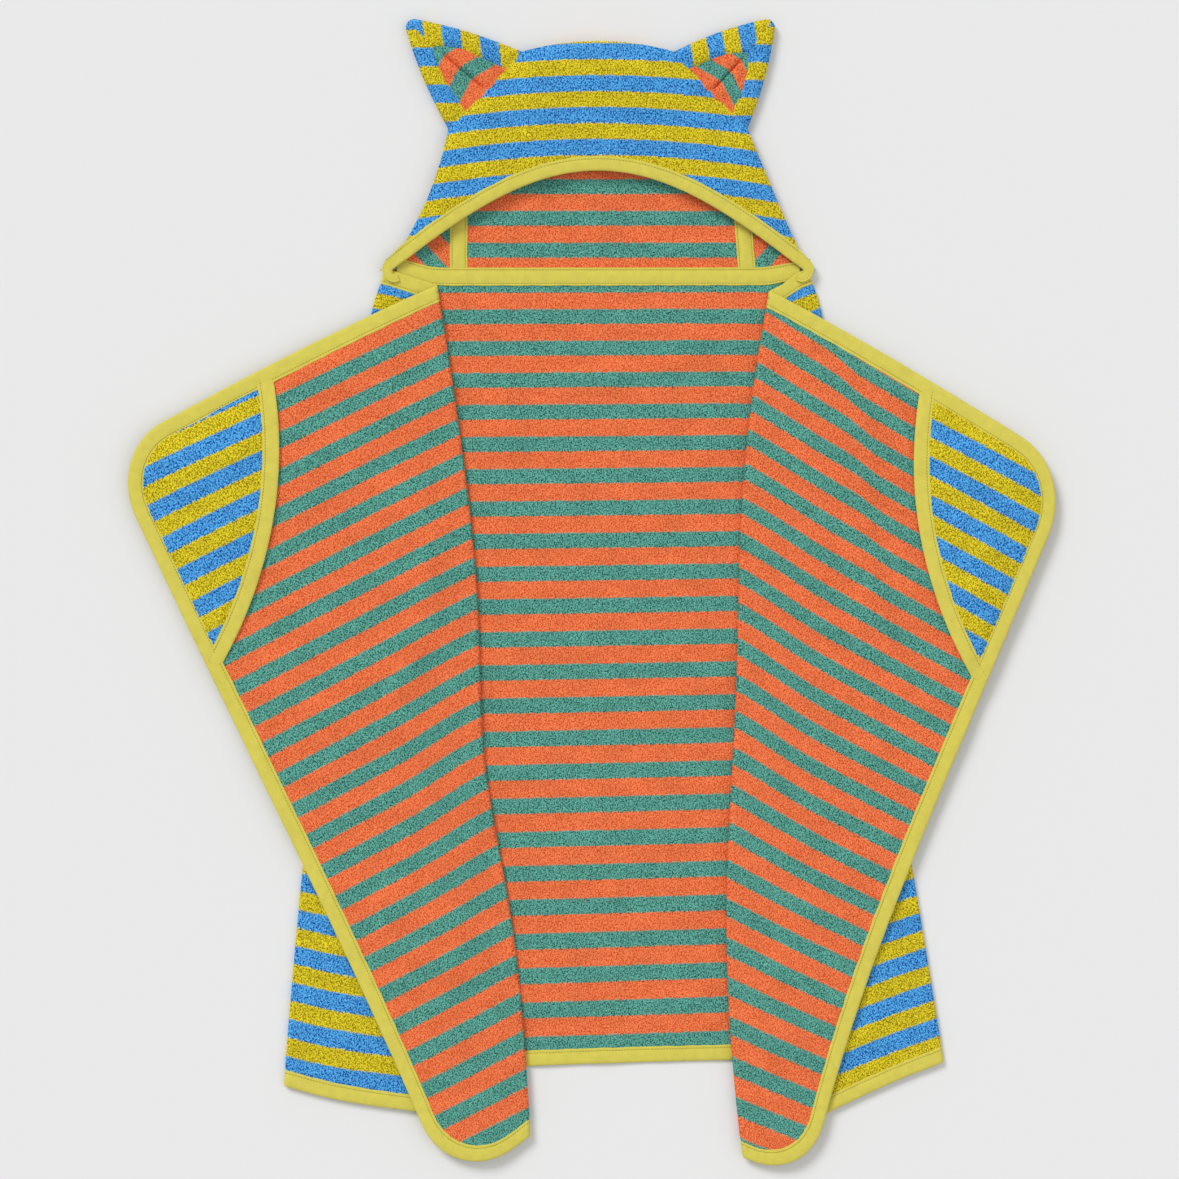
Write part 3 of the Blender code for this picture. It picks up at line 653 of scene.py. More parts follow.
# ---------------------------------------------------------------- mesh building
def new_piece(name, points, faces, materials, face_material=None, cloth=None, stripes=None, sharp=55):
    """A smooth-shaded object. cloth and stripes are per-corner or per-point map coordinates."""
    mesh = bpy.data.meshes.new(name)
    mesh.from_pydata([tuple(p) for p in points], [], [tuple(int(i) for i in f) for f in faces])
    for material in materials:
        mesh.materials.append(material)
    corners = np.zeros(len(mesh.loops), int)
    mesh.loops.foreach_get("vertex_index", corners)
    for title, values in (("cloth", cloth), ("stripes", stripes)):
        if values is None:
            continue
        layer = mesh.uv_layers.new(name=title)
        values = np.asarray(values, np.float32)
        if len(values) != len(corners):
            values = values[corners]
        layer.data.foreach_set("uv", values.ravel())
    if face_material is not None:
        mesh.polygons.foreach_set("material_index", np.asarray(face_material, np.int32))
    mesh.polygons.foreach_set("use_smooth", np.ones(len(mesh.polygons), bool))
    mesh.set_sharp_from_angle(angle=math.radians(sharp))
    mesh.update()
    piece = bpy.data.objects.new(name, mesh)
    bpy.context.scene.collection.objects.link(piece)
    return piece


def rim_edges(faces):
    """The directed edges that only one triangle has."""
    edges = {}
    for a, b, c in faces.tolist():
        for edge in ((a, b), (b, c), (c, a)):
            edges[edge] = True
    return [edge for edge in edges if (edge[1], edge[0]) not in edges]


def closed_faces(faces, count):
    """The upper triangles, the same turned over for the lower points, and a wall round the rim."""
    walls = [(b, a, a + count, b + count) for a, b in rim_edges(faces)]
    lower = [(c + count, b + count, a + count) for a, b, c in faces.tolist()]
    return [tuple(f) for f in faces.tolist()] + lower + walls


def two_faced(name, flat, faces, upper, lower, phase, materials=None):
    """A closed sheet of two cloth faces, with the stripes' phase at each point."""
    all_faces = closed_faces(faces, len(flat))
    kinds = [0] * len(faces) + [1] * (len(all_faces) - len(faces))
    return new_piece(name, np.vstack([upper, lower]), all_faces, materials or [INNER_PILE, OUTER_TERRY],
                     kinds, np.vstack([flat, flat]), np.tile(phase[:, None], (2, 2)))


def body_sheet(name, side, outline, lines, shear=None):
    """A piece of the body cloth, folded as it lies. shear gives the stripes' shift at flat points."""
    flat, faces = filled(resampled(outline, SPACING, closed=True), SPACING, lines, SPACING * 0.3)
    edge = distance_to(flat, BODY_EDGE)
    thick = body_thickness(edge) * smooth(edge, -0.0015, 0.0015)
    upper = folded(side, np.column_stack([flat, thick]))
    lower = folded(side, np.column_stack([flat, -thick]))
    phase = stripe_phase(-flat[:, 1])
    if shear is not None:
        phase = phase + shear(side, flat)
    return two_faced(name, flat, faces, upper, lower, phase)


def left_normals(path):
    """Unit normals on the left of a path."""
    way = np.gradient(path, axis=0)
    way = way / np.linalg.norm(way, axis=1)[:, None]
    return np.column_stack([-way[:, 1], way[:, 0]])


def lengths(path):
    return np.concatenate([[0], np.cumsum(np.linalg.norm(np.diff(path, axis=0), axis=1))])


def tape_section(width, wall):
    """Half the section of a folded tape: (inset from the edge, height), stitched near its inner edge."""
    return [(width, 0.45 * wall), (width, 0.85 * wall), (width - 0.0006, wall),
            (width - 0.0018, 0.97 * wall), (width - FOLDED_ROW, 0.80 * wall), (width - 0.0038, 0.97 * wall),
            (width * 0.55, 1.04 * wall), (0.0030, 1.0 * wall), (0.0004, 0.85 * wall),
            (-0.0008, 0.45 * wall)]


def swept(path, normals, section, heights=None, widths=None):
    """Points and faces of a section carried along a path, capped at both ends."""
    rings, around = len(path), len(section)
    run = lengths(path)
    inset = np.array([s[0] for s in section])
    height = np.array([s[1] for s in section])
    pucker = 1 + 0.010 * np.sin(run * 2 * math.pi / 0.0075) + 0.012 * np.sin(run * 2 * math.pi / 0.031 + 1)
    widths = np.ones(rings) if widths is None else widths
    flat = path[:, None] + normals[:, None] * (inset[None] * widths[:, None])[..., None]
    flat = flat + normals[:, None] * ((pucker - 1)[:, None] * (inset > 0.006) * inset)[..., None]
    up = np.repeat(height[None], rings, axis=0) * (1 + 4 * (pucker - 1))[:, None]
    if heights is not None:
        up = up + np.where(up > 0, heights[:, None], 0)
    points = np.concatenate([flat, up[..., None]], axis=2).reshape(-1, 3)
    faces = []
    for k in range(rings - 1):
        for j in range(around):
            i = (j + 1) % around
            faces.append((k * around + j, k * around + i, (k + 1) * around + i, (k + 1) * around + j))
    faces.append(tuple(reversed(range(around))))
    faces.append(tuple((rings - 1) * around + j for j in range(around)))
    steps = np.concatenate([[0], np.cumsum(np.hypot(np.diff(inset), np.diff(height)))])
    cloth = np.stack([np.repeat(run, around), np.tile(steps, rings)], axis=1)
    return points, faces, cloth


def stitch_row(path, normals, inset, height, heights=None):
    """A row of single stitches lying on a tape, each a short thread dipping in at both ends."""
    run = lengths(path)
    count = max(2, int(run[-1] / STITCH_PITCH))
    places = (np.arange(count) + 0.5) * run[-1] / count
    sides, rings = 5, 4
    points, faces = [], []
    for at in places:
        centre = np.array([np.interp(at, run, path[:, k]) for k in (0, 1)])
        normal = unit(np.array([np.interp(at, run, normals[:, k]) for k in (0, 1)]))
        along = -left_of(normal)
        rise = 0 if heights is None else np.interp(at, run, heights)
        base = len(points)
        for ring in range(rings):
            share = ring / (rings - 1) * 2 - 1
            thick = THREAD_RADIUS * math.sqrt(max(1 - 0.8 * share * share, 0.05))
            for j in range(sides):
                turn = 2 * math.pi * j / sides
                spot = centre + along * share * STITCH_PITCH * STITCH_FILL
                spot = spot + normal * (inset + thick * math.cos(turn))
                up = height + rise * (height > 0) + math.copysign(1, height) * (
                    THREAD_RISE * (1 - share ** 2) + 0.5 * thick * math.sin(turn))
                points.append((spot[0], spot[1], up))
        for ring in range(rings - 1):
            for j in range(sides):
                i = (j + 1) % sides
                a, b = base + ring * sides, base + (ring + 1) * sides
                faces.append((a + j, a + i, b + i, b + j))
        faces.append(tuple(base + j for j in reversed(range(sides))))
        faces.append(tuple(base + (rings - 1) * sides + j for j in range(sides)))
    return np.array(points), faces


def sewn_tape(name, path, normals, section, rows, place, heights=None, widths=None):
    """A tape with rows of stitches, each (inset, height). place maps (across, up, height) to the world."""
    points, faces, cloth = swept(path, normals, section, heights, widths)
    kinds = [0] * len(faces)
    for inset, height in rows:
        stitches, quads = stitch_row(path, normals, inset, height, heights)
        faces += [tuple(i + len(points) for i in q) for q in quads]
        kinds += [1] * len(quads)
        cloth = np.vstack([cloth, stitches[:, :2]])
        points = np.vstack([points, stitches])
    return new_piece(name, place(points), faces, [TAPE, THREAD], kinds, cloth, sharp=70)


def edge_tape(name, path, normals, width, wall, place, heights=None, widths=None):
    """Tape folded over a cloth edge and stitched through."""
    half = tape_section(width, wall)
    section = half + [(-0.0012, 0.0)] + [(x, -z) for x, z in reversed(half)]
    rows = [(width - FOLDED_ROW, height) for height in (0.86 * wall, -0.86 * wall)]
    return sewn_tape(name, path, normals, section, rows, place, heights, widths)


def flat_tape(name, path, normals, width, floor, thick, place):
    """Tape laid flat on a cloth and stitched along both edges."""
    top = floor + thick
    section = [(0.0, floor), (0.0, top - 0.0002), (0.0004, top), (0.0014, top), (0.0022, top - 0.0004),
               (0.0032, top), (width * 0.5, top + 0.0002), (width - 0.0032, top),
               (width - 0.0022, top - 0.0004), (width - 0.0014, top), (width - 0.0004, top),
               (width, top - 0.0002), (width, floor)][::-1]
    rows = [(inset, top - 0.0002) for inset in (FLAT_ROW, width - FLAT_ROW)]
    return sewn_tape(name, path, normals, section, rows, place)


def signed_area(outline):
    x, y = outline.T
    return 0.5 * (x @ np.roll(y, -1) - y @ np.roll(x, -1))


# ---------------------------------------------------------------- hiding CAD pieces, baking transforms
def dress(piece, slot, *nodes):
    """Hides the CAD pieces that this one stands for. The slot is not used."""
    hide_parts(*nodes)


def blend_outer(piece, side):
    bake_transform(piece)


def blend_inner(piece, side):
    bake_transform(piece)


def blend_neck(piece):
    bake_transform(piece)


# ---------------------------------------------------------------- body cloth
def body_outline():
    return np.array(half_edge("left") + half_edge("right")[::-1][1:])


def make_back():
    outline = body_outline()
    for sign in (-1, 1):
        outline = cut(outline, np.array([sign * CENTRE_HALF, 0.0]), np.array([float(sign), 0.0]))
    piece = body_sheet("back_cloth", "left", outline, [])
    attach(piece, "root")
    dress(piece, "inner_pile", "back_panel")
    edge = np.vstack([HALF_EDGE["left"], HALF_EDGE["right"][::-1][1:]])
    keep = (np.abs(edge[:, 0]) <= CENTRE_HALF + 1e-6) & (edge[:, 1] < -BODY_LENGTH / 2)
    ends = [np.array([s * CENTRE_HALF, -BODY_LENGTH - HEM_DROP * (CENTRE_HALF / HALF_HEM) ** 2])
            for s in (-1, 1)]
    path = np.vstack([ends[0], edge[keep], ends[1]])
    tape = edge_tape("back_hem_tape", path, left_normals(path), EDGE_TAPE, EDGE_WALL,
                     lambda p: folded("left", p))
    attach(tape, "root")
    dress(tape, "binding_tape", "back_hem_binding")
    # the neck's band rises a little towards both ends
    across = np.arange(OUTER["left"].origin[0] + 0.014, OUTER["right"].origin[0] - 0.012, 0.003)
    rise = np.where(across < 0, 0.009, 0.006) * smooth(np.abs(across), 0.150, 0.205) ** 1.5
    path = np.column_stack([across, 0.001 + rise])
    band = flat_tape("neck_tape", path, -left_normals(path), NECK_TAPE, HALF - 0.0006, NECK_THICK,
                     lambda p: folded("left", p))
    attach(band, "root")
    dress(band, "binding_tape", "neck_binding")


def side_shear(side, flat):
    """How far a side layer's stripes are off the straight grain."""
    share = flap_place(side, flat)[1]
    return (SIDE_PHASE[side] + SIDE_DRIFT[side] * (1 - share)) * smooth(share, 0.3, 0.7)


def tape_rows(side):
    """Lines close together across both folds, so that the tape follows the bends."""
    made = []
    for inner in (False, True):
        origin, normal = fold_rows(side, inner)[0]
        made += [(origin + normal * s, normal) for s in np.arange(-0.010, 0.0165, 0.0009)]
        made += [(origin - normal * s, normal) for s in np.arange(0.0109, 0.0165, 0.0009)]
    return made


def make_side(side):
    sign = SIDES[side]
    origin, normal = split_line(side)
    centre_cut = np.array([sign * CENTRE_HALF, 0.0])
    half = cut(body_outline(), centre_cut, np.array([-float(sign), 0.0]))
    middle = cut(half, origin, normal)
    flap = cut(half, origin, -normal)

    under = body_sheet(side + "_side_cloth", side, middle, fold_rows(side, False), side_shear)
    blend_outer(under, side)
    dress(under, "outer_terry", side + "_side_panel", side + "_outer_fold")
    front = body_sheet(side + "_front_cloth", side, flap, fold_rows(side, True), flap_shear)
    blend_inner(front, side)
    dress(front, "inner_pile", side + "_front_panel", side + "_inner_fold")

    lines = tape_rows(side) + [(origin, normal), (centre_cut, np.array([1.0, 0.0]))]
    edge = with_crossings(HALF_EDGE[side], lines, closed=False)
    first, last = np.where((edge - origin) @ normal > -1e-7)[0][[0, -1]]
    stop = np.where(sign * edge[:, 0] >= CENTRE_HALF - 1e-7)[0][-1]
    inwards = left_normals(edge) * -sign
    raised = POCKET_LIFT * smooth(pocket_depth(side, edge), -0.012, 0.004)

    def tape(title, start, end, join, node):
        part = slice(start, end + 1)
        piece = edge_tape(side + title, edge[part], inwards[part], EDGE_TAPE, EDGE_WALL,
                          lambda p: folded(side, p), raised[part])
        join(piece, side)
        dress(piece, "binding_tape", side + node)
        return piece

    top = tape("_side_top_tape", 0, first, blend_outer, "_side_top_binding")
    rim = tape("_front_tape", first, last, blend_inner, "_front_binding")
    hem = tape("_side_hem_tape", last, stop, blend_outer, "_side_hem_binding")


# ---------------------------------------------------------------- pockets
def pocket_corners(side):
    sign = SIDES[side]
    corner = np.array([sign * HALF_TOP, -SHOULDER_DROP])
    shoulder = unit(np.array([OUTER[side].origin[0], 0.0]) - corner)
    front = unit(np.array([sign * HALF_HEM, -BODY_LENGTH - HEM_DROP]) - corner)
    return corner + shoulder * POCKET_SHOULDER, corner + front * POCKET_FRONT, corner


def mouth_arc(side):
    """The bowed mouth of the pocket, from the shoulder edge to the front edge."""
    start, end, corner = pocket_corners(side)
    chord = end - start
    length = np.linalg.norm(chord)
    outwards = unit(left_of(chord))
    if (corner - start) @ outwards > 0:
        outwards = -outwards
    radius = (length ** 2 / 4 + POCKET_BULGE ** 2) / (2 * POCKET_BULGE)
    centre = (start + end) / 2 + outwards * (POCKET_BULGE - radius)
    sweep = math.asin(length / 2 / radius)
    way = unit(chord)
    turns = np.linspace(-sweep, sweep, 61)
    return np.array([centre + (outwards * math.cos(t) + way * math.sin(t)) * radius for t in turns])


def pocket_depth(side, points):
    """How far into the pocket a point is, from the line between the mouth's ends."""
    start, end, corner = pocket_corners(side)
    normal = left_of(unit(end - start))
    normal = normal if (corner - start) @ normal > 0 else -normal
    return (points - start) @ normal


def body_thickness(edge):
    """Half the body cloth's thickness at a distance from its bound edge."""
    return PRESSED + (HALF - PRESSED) * smooth(edge, EDGE_TAPE * 0.95, EDGE_TAPE + 0.005)


def pocket_floor(points, edge, arc):
    """Height of the pocket cloth's underside over the middle of the body cloth."""
    bound, mouth = distance_to(points, edge), distance_to(points, arc)
    puff = POCKET_PUFF * smooth(bound, 0.013, 0.055) * (0.45 + 0.55 * smooth(mouth, 0.0, 0.05))
    puff = puff + 0.0004 * (1 + ripple(points, 0.035, 21)) * smooth(bound, 0.014, 0.03)
    return body_thickness(bound) + 0.0003 + np.maximum(puff, 0) + 0.0008 * smooth(bound, 0.010, 0.018)


def make_pocket(side):
    arc = mouth_arc(side)
    edge = HALF_EDGE[side]
    rim = edge[(pocket_depth(side, edge) > 0) & (edge[:, 1] > -0.4)]
    rim = rim + left_normals(rim) * -SIDES[side] * 0.004
    outline = resampled(np.vstack([arc, rim[::-1]]), SMALL_SPACING, closed=True)
    flat, faces = filled(outline, SMALL_SPACING)
    bound, mouth = distance_to(flat, edge), distance_to(flat, arc)
    thick = 0.0005 + 0.0009 * smooth(bound, 0.012, 0.018) * smooth(mouth, 0.0125, 0.018)
    floor = pocket_floor(flat, edge, arc)
    upper = folded(side, np.column_stack([flat, floor + 2 * thick]))
    lower = folded(side, np.column_stack([flat, floor]))
    phase = stripe_phase(-flat[:, 1]) + POCKET_PHASE[side]
    piece = two_faced(side + "_pocket_cloth", flat, faces, upper, lower, phase, [OUTER_TERRY, INNER_PILE])

    middle = len(arc) // 2
    lip = folded(side, np.array([[*arc[middle], 0.003]]))[0]
    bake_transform(piece)
    dress(piece, "outer_terry", side + "_hand_pocket", side + "_pocket_lip")

    # the tape's normals point into the pocket
    normals = left_normals(arc)
    inner, mid = pocket_depth(side, np.array([arc[middle] + normals[middle] * 0.01, arc[middle]]))
    normals = normals if inner > mid else -normals
    keep = distance_to(arc, edge) > 0.007

    def on_pocket(points):
        lifted = points.copy()
        lifted[:, 2] += pocket_floor(points[:, :2], edge, arc) + 0.0005
        return folded(side, lifted)

    tape = edge_tape(side + "_pocket_tape", arc[keep], normals[keep], MOUTH_TAPE, MOUTH_WALL, on_pocket)
    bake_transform(tape)
    dress(tape, "binding_tape", side + "_pocket_binding")


# ---------------------------------------------------------------- hood
def hood_side_points(sign):
    """The hood's side from the neck up to the ear, then the ear seam."""
    draw = HOOD_DRAW["left" if sign < 0 else "right"]
    points = []
    for share in np.linspace(0, 1, 13):
        eased = 0.75 * share + 0.25 * math.sqrt(share)
        half = HOOD_NECK_HALF + (HOOD_EAR[0] - HOOD_NECK_HALF) * eased - 5 * draw * share * (1 - share)
        points.append((sign * half, HOOD_EAR[1] * share))
    return points


def hood_outline():
    """Neck to neck round the crown, anticlockwise from the right."""
    crown = [(HOOD_CROWN_HALF * a, HOOD_TOP - HOOD_CROWN_RISE * a * a) for a in np.linspace(1, -1, 17)]
    return np.array(hood_side_points(1) + crown + hood_side_points(-1)[::-1])


HOOD_EDGE = resampled(hood_outline(), SMALL_SPACING)


def face_arch():
    across = np.linspace(-1, 1, 81)
    return np.column_stack([FACE_HALF * across, FACE_RISE * np.cos(math.pi / 2 * across)])


def rounded(distance, reach):
    """Rises from 0 to 1 over the reach like a quarter of a circle."""
    share = np.clip(distance / reach, 0, 1)
    return np.sqrt(1 - (1 - share) ** 2)


def hood_front_middle(flat):
    """Height of the middle of the hood's front over the floor."""
    edge = distance_to(flat, HOOD_EDGE)
    crown = HOOD_FRONT_MID * (0.86 + 0.14 * smooth(flat[:, 1], 0.0, 0.09))
    corner = smooth(np.abs(flat[:, 0]), 0.15, 0.20) * smooth(0.05 - flat[:, 1], 0, 0.05)
    top = crown - 0.0035 * corner
    waves = 0.0005 * ripple(flat, 0.06, 31) * smooth(edge, 0.01, 0.03)
    return HOOD_SEAM + (top - HOOD_SEAM) * rounded(edge + 0.0004, 0.026) + waves


def hood_back_middle(flat):
    """The same for the hood's back."""
    edge = distance_to(flat, HOOD_EDGE)
    waves = 0.0010 * np.maximum(1 + ripple(flat, 0.075, 33), 0) * smooth(edge, 0.02, 0.05)
    waves = waves * smooth(flat[:, 1], 0.0, 0.03)
    return HOOD_SEAM - (HOOD_SEAM - HALF) * rounded(edge + 0.0004, 0.014) + waves


def offset_sheet(name, flat, faces, middle, thick, phase, materials):
    """A sheet of that thickness about a middle surface, standing off it squarely."""
    points = np.column_stack([flat, middle])
    a, b, c = (points[faces[:, k]] for k in range(3))
    normals = np.zeros_like(points)
    for k in range(3):
        np.add.at(normals, faces[:, k], np.cross(b - a, c - a))
    normals /= np.linalg.norm(normals, axis=1)[:, None]
    shift = np.array([*ORIGIN, 0.0])
    upper = points + normals * thick[:, None] + shift
    lower = points - normals * thick[:, None] + shift
    return two_faced(name, flat, faces, upper, lower, phase, materials)


def hood_place(middle):
    """Puts points given over a middle surface into the world."""
    def place(points):
        height = middle(points[:, :2]) + points[:, 2]
        return np.column_stack([points[:, :2] + ORIGIN, height])
    return place


def with_curls(arch):
    """The arch carried on round both neck corners in small turns, where the tape narrows."""
    normals = left_normals(arch)
    way = unit(arch[-1] - arch[-2])
    turn = np.linspace(0, math.radians(168), 18)[1:]
    made = {}
    for sign in (1, -1):
        end, heading = (arch[-1], way) if sign > 0 else (arch[0], unit(arch[0] - arch[1]))
        outwards = normals[-1] if sign > 0 else normals[0]
        centre = end - outwards * CURL
        points = np.array([centre + (outwards * math.cos(t) + heading * math.sin(t)) * CURL for t in turn])
        made[sign] = (points, (points - centre) / CURL)
    path = np.vstack([made[-1][0][::-1], arch, made[1][0]])
    out = np.vstack([made[-1][1][::-1], normals, made[1][1]])
    narrow = 0.76 - 0.26 * np.linspace(0, 1, len(turn))
    run = lengths(arch)
    ends = np.minimum(run, run[-1] - run)
    return path, out, np.concatenate([narrow[::-1], 0.76 + 0.24 * smooth(ends, -0.002, 0.022), narrow])


def tape_middle(flat):
    """The hood front's middle height, settling on to the side layer below the neck."""
    below = smooth(-flat[:, 1], -0.006, 0.014)
    return hood_front_middle(flat) * (1 - below) + 0.0082 * below


def make_hood():
    arch = face_arch()
    outline = resampled(np.vstack([HOOD_EDGE, arch]), SMALL_SPACING, closed=True)
    flat, faces = filled(outline, SMALL_SPACING)
    thick = HALF * (0.45 + 0.55 * smooth(distance_to(flat, arch), 0.009, 0.017))
    drop = HOOD_FRONT_SAG * np.abs(flat[:, 0]) ** 2 / 0.2
    phase = (HOOD_FRONT_FROM - flat[:, 1] - drop) / HOOD_STRIPE + 0.5
    front = offset_sheet("hood_front_cloth", flat, faces, hood_front_middle(flat), thick, phase,
                         [OUTER_TERRY, INNER_PILE])
    blend_neck(front)
    dress(front, "outer_terry", "hood_front_panel")
    path, normals, widths = with_curls(arch)
    tape = edge_tape("hood_opening_tape", path, normals, FACE_TAPE, FACE_WALL, hood_place(tape_middle),
                     widths=widths)
    blend_neck(tape)
    dress(tape, "binding_tape", "hood_opening_binding")

    seams = {side: np.array([sign * SEAM_AT[side], 0.0]) for side, sign in SIDES.items()}
    back = cut(cut(HOOD_EDGE, seams["right"], np.array([1.0, 0])), seams["left"], np.array([-1.0, 0]))
    parts = [("hood_back", 0, back)]
    for side, sign in SIDES.items():
        parts.append((side + "_hood_side", sign, cut(HOOD_EDGE, seams[side], np.array([-float(sign), 0]))))
    for name, sign, part in parts:
        outline = resampled(part, SMALL_SPACING, closed=True)
        flat, faces = filled(outline, 0.005)
        across, up = flat.T
        if sign:
            run = sign * across * math.sin(HOOD_SIDE_LEAN) + LINING_SIDE_FROM
            run = run - up * math.cos(HOOD_SIDE_LEAN)
        else:
            run = LINING_FROM - up
        piece = offset_sheet(name + "_cloth", flat, faces, hood_back_middle(flat), np.full(len(flat), HALF),
                             run / HOOD_STRIPE, [INNER_PILE, OUTER_TERRY])
        blend_neck(piece)
        dress(piece, "inner_pile", name + "_panel")
    for side, sign in SIDES.items():
        start = seams[side] - [SEAM_TAPE / 2, 0.0]
        path = resampled([start, start + [-0.010 * (sign > 0), SEAM_LENGTH]], SMALL_SPACING)
        strip = flat_tape(side + "_hood_seam_tape_strip", path, -left_normals(path), SEAM_TAPE,
                          HALF - 0.0004, SEAM_THICK, hood_place(hood_back_middle))
        blend_neck(strip)
        dress(strip, "binding_tape", side + "_hood_seam_tape")


# ---------------------------------------------------------------- ears
def ear_frame(side):
    sign = SIDES[side]
    inner = np.array([sign * HOOD_CROWN_HALF, HOOD_TOP - HOOD_CROWN_RISE])
    outer = np.array([sign * HOOD_EAR[0], HOOD_EAR[1]])
    return inner, outer, np.array(EAR_TIP[side])


def bowed(start, end, bulge, centre):
    """A line that bows away from the centre, in twelve steps."""
    away = unit(left_of(end - start))
    away = away if (centre - start) @ away < 0 else -away
    return [start + (end - start) * s + away * bulge * math.sin(math.pi * s) for s in np.linspace(0, 1, 13)]


def ear_insert(side):
    """The insert's outline: a triangle with bowed free sides and a blunt point, based on the seam."""
    inner, outer, _ = ear_frame(side)
    base_a, base_b = (inner + (outer - inner) * share for share in EAR_BASE[side])
    apex = np.array(EAR_APEX[side])
    middle = (base_a + base_b + apex) / 3
    first, second = bowed(base_a, apex, 0.0050, middle), bowed(apex, base_b, 0.0050, middle)
    point = fillet(first[-3], apex, second[2], 0.0035, 5)
    return np.array(first[:-2] + point + second[2:]), base_a, base_b, apex


def ear_outline(side):
    """The ear from its seam round the tip, with a hidden allowance under the hood."""
    inner, outer, tip = ear_frame(side)
    middle = (inner + outer + tip) / 3
    first, second = bowed(inner, tip, 0.004, middle), bowed(tip, outer, 0.004, middle)
    free = np.array(first[:-1] + fillet(first[-2], tip, second[1], 0.0085, 6) + second[1:])
    root = unit(tip - (inner + outer) / 2) * 0.006
    outline = np.vstack([free, outer - root, inner - root])
    return free, outline if signed_area(outline) > 0 else outline[::-1]


def make_ear_cloth(side, outline, free, triangle, apex):
    """The ear's back and rim, sunk where the insert lies."""
    inner, outer, tip = ear_frame(side)
    flat, faces = filled(outline, 0.0022)
    edge, gap = distance_to(flat, free), distance_to(flat, triangle)
    within = inside(flat, triangle)
    well = np.where(within, smooth(gap, -0.003, 0.003), 0.5 * smooth(0.0035 - gap, 0, 0.0035))
    top = EAR_MID + EAR_PUFF * rounded(edge, 0.011) + 0.0006 * ripple(flat, 0.022, 41) - EAR_WELL * well
    seam = (flat - inner) @ unit(left_of(outer - inner))
    top = top - 0.0015 * (1 - smooth(np.abs(seam), 0.0, 0.010))
    top = np.where(within, top - 0.0042 * smooth(gap, 0.0015, 0.005), top)
    bottom = EAR_MID - 0.0025 * rounded(edge, 0.008)
    points = np.vstack([np.column_stack([flat, top]), np.column_stack([flat, bottom])])
    all_faces = closed_faces(faces, len(flat))
    # each rim has its own grain, and the two meet on the line from the tip to the insert's point
    twice = np.vstack([flat, flat])
    mitre = left_of(unit(apex - tip))
    across = (twice - tip) @ mitre
    top_sign = np.sign((inner - tip) @ mitre)
    start_out, pair_out, start_top, pair_top = EAR_BANDS[side]
    run_out = (start_out - twice[:, 1]) / pair_out + 0.5
    run_top = -SIDES[side] * (twice[:, 0] + 0.15 * twice[:, 1] - start_top) / pair_top + 0.5
    corner_stripes = []
    for face in all_faces:
        run = run_top if sum(across[i] for i in face) * top_sign > 0 else run_out
        corner_stripes += [(run[i], 0.0) for i in face]
    corner_cloth = [tuple(twice[i]) for face in all_faces for i in face]
    return new_piece(side + "_ear_cloth", points + np.array([*ORIGIN, 0.0]), all_faces, [OUTER_TERRY], None,
                     corner_cloth, corner_stripes)


def make_ear_insert(side, patch, base_a, base_b, apex):
    """The insert, tucked along its middle, which bends its stripes."""
    flat, faces = filled(patch, 0.0016)
    base = (base_a + base_b) / 2
    way = unit(base - apex)
    beside = (flat - apex) @ left_of(way)
    run = (flat - apex) @ way / np.linalg.norm(base - apex)
    tuck = np.exp(-(beside / 0.0016) ** 2) * smooth(run, 0.12, 0.30) * smooth(1.0 - run, 0.0, 0.15)
    swell = np.exp(-((np.abs(beside) - 0.0070) / 0.0060) ** 2) * smooth(run, 0.05, 0.4)
    height = EAR_MID + EAR_PUFF - EAR_WELL + 0.0004 - 0.0040 * tuck + 0.0018 * swell
    above = np.abs((flat - base_a) @ left_of(unit(base_b - base_a)))
    phase = (above + 0.28 * np.abs(beside)) / EAR_INSERT_PAIR[side]
    return offset_sheet(side + "_ear_insert_cloth", flat, faces, height, np.full(len(flat), 0.0007), phase,
                        [INNER_PILE, INNER_PILE])


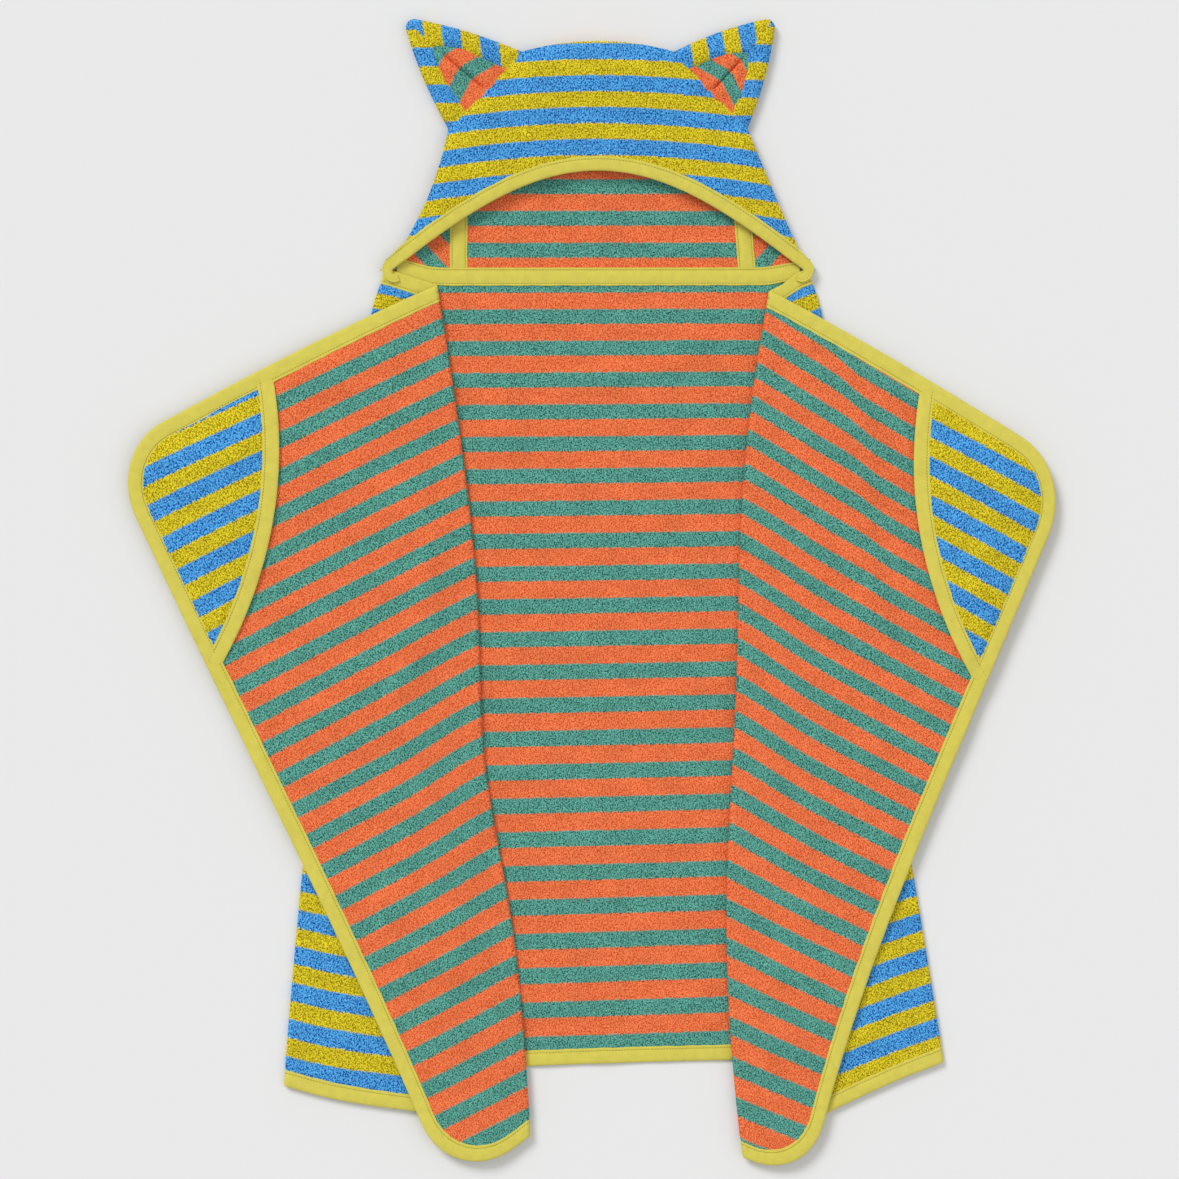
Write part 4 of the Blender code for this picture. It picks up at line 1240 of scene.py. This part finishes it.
def make_ear(side):
    free, outline = ear_outline(side)
    outline = resampled(outline, 0.0025, closed=True)
    triangle, base_a, base_b, apex = ear_insert(side)
    cloth = make_ear_cloth(side, outline, free, triangle, apex)
    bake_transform(cloth)
    dress(cloth, "outer_terry", side + "_ear_back", side + "_ear_rim")

    # the insert reaches a little under the rim
    closed = triangle if signed_area(triangle) > 0 else triangle[::-1]
    middle = closed.mean(0)
    patch = resampled(middle + (closed - middle) * 1.04, 0.002, closed=True)
    insert = make_ear_insert(side, patch, base_a, base_b, apex)
    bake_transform(insert)
    dress(insert, "inner_pile", side + "_ear_insert")


# ---------------------------------------------------------------- studio
def make_studio():
    mesh = bpy.data.meshes.new("floor")
    mesh.from_pydata([(-6, -6, 0), (6, -6, 0), (6, 6, 0), (-6, 6, 0)], [], [(0, 1, 2, 3)])
    floor = bpy.data.objects.new("floor", mesh)
    bpy.context.scene.collection.objects.link(floor)
    material, _, shader = node_material("studio_floor")
    shader.inputs["Base Color"].default_value = (FLOOR_ALBEDO, FLOOR_ALBEDO, FLOOR_ALBEDO, 1.0)
    shader.inputs["Roughness"].default_value = 0.9
    mesh.materials.append(material)

    world = bpy.data.worlds.new("studio")
    world.use_nodes = True
    background = world.node_tree.nodes["Background"]
    background.inputs[0].default_value = (1.0, 1.0, 1.0, 1.0)
    background.inputs[1].default_value = SKY
    bpy.context.scene.world = world
    for name, (place, spread, power) in SUNS.items():
        light = bpy.data.lights.new(name, "SUN")
        light.angle = math.radians(spread)
        light.energy = power
        lamp = bpy.data.objects.new(name, light)
        lamp.location = place
        lamp.rotation_euler = (-Vector(place)).to_track_quat("-Z", "Y").to_euler()
        bpy.context.scene.collection.objects.link(lamp)

    camera = bpy.data.cameras.new("camera")
    seen_from = bpy.data.objects.new("camera", camera)
    middle = (Vector(CAD_BOX[0]) + Vector(CAD_BOX[1])) / 2
    seen_from.location = (middle.x + CAMERA_OFF[0], middle.y + CAMERA_OFF[1], CAMERA_HEIGHT)
    camera.sensor_width = SENSOR
    camera.lens = SENSOR * (CAMERA_HEIGHT - VIEW_LEVEL) / VIEW_WIDTH
    bpy.context.scene.collection.objects.link(seen_from)
    bpy.context.scene.camera = seen_from
    bpy.context.scene.view_settings.view_transform = "Standard"


make_studio()
make_back()
for side in SIDES:
    make_side(side)
    make_pocket(side)
make_hood()
for side in SIDES:
    make_ear(side)
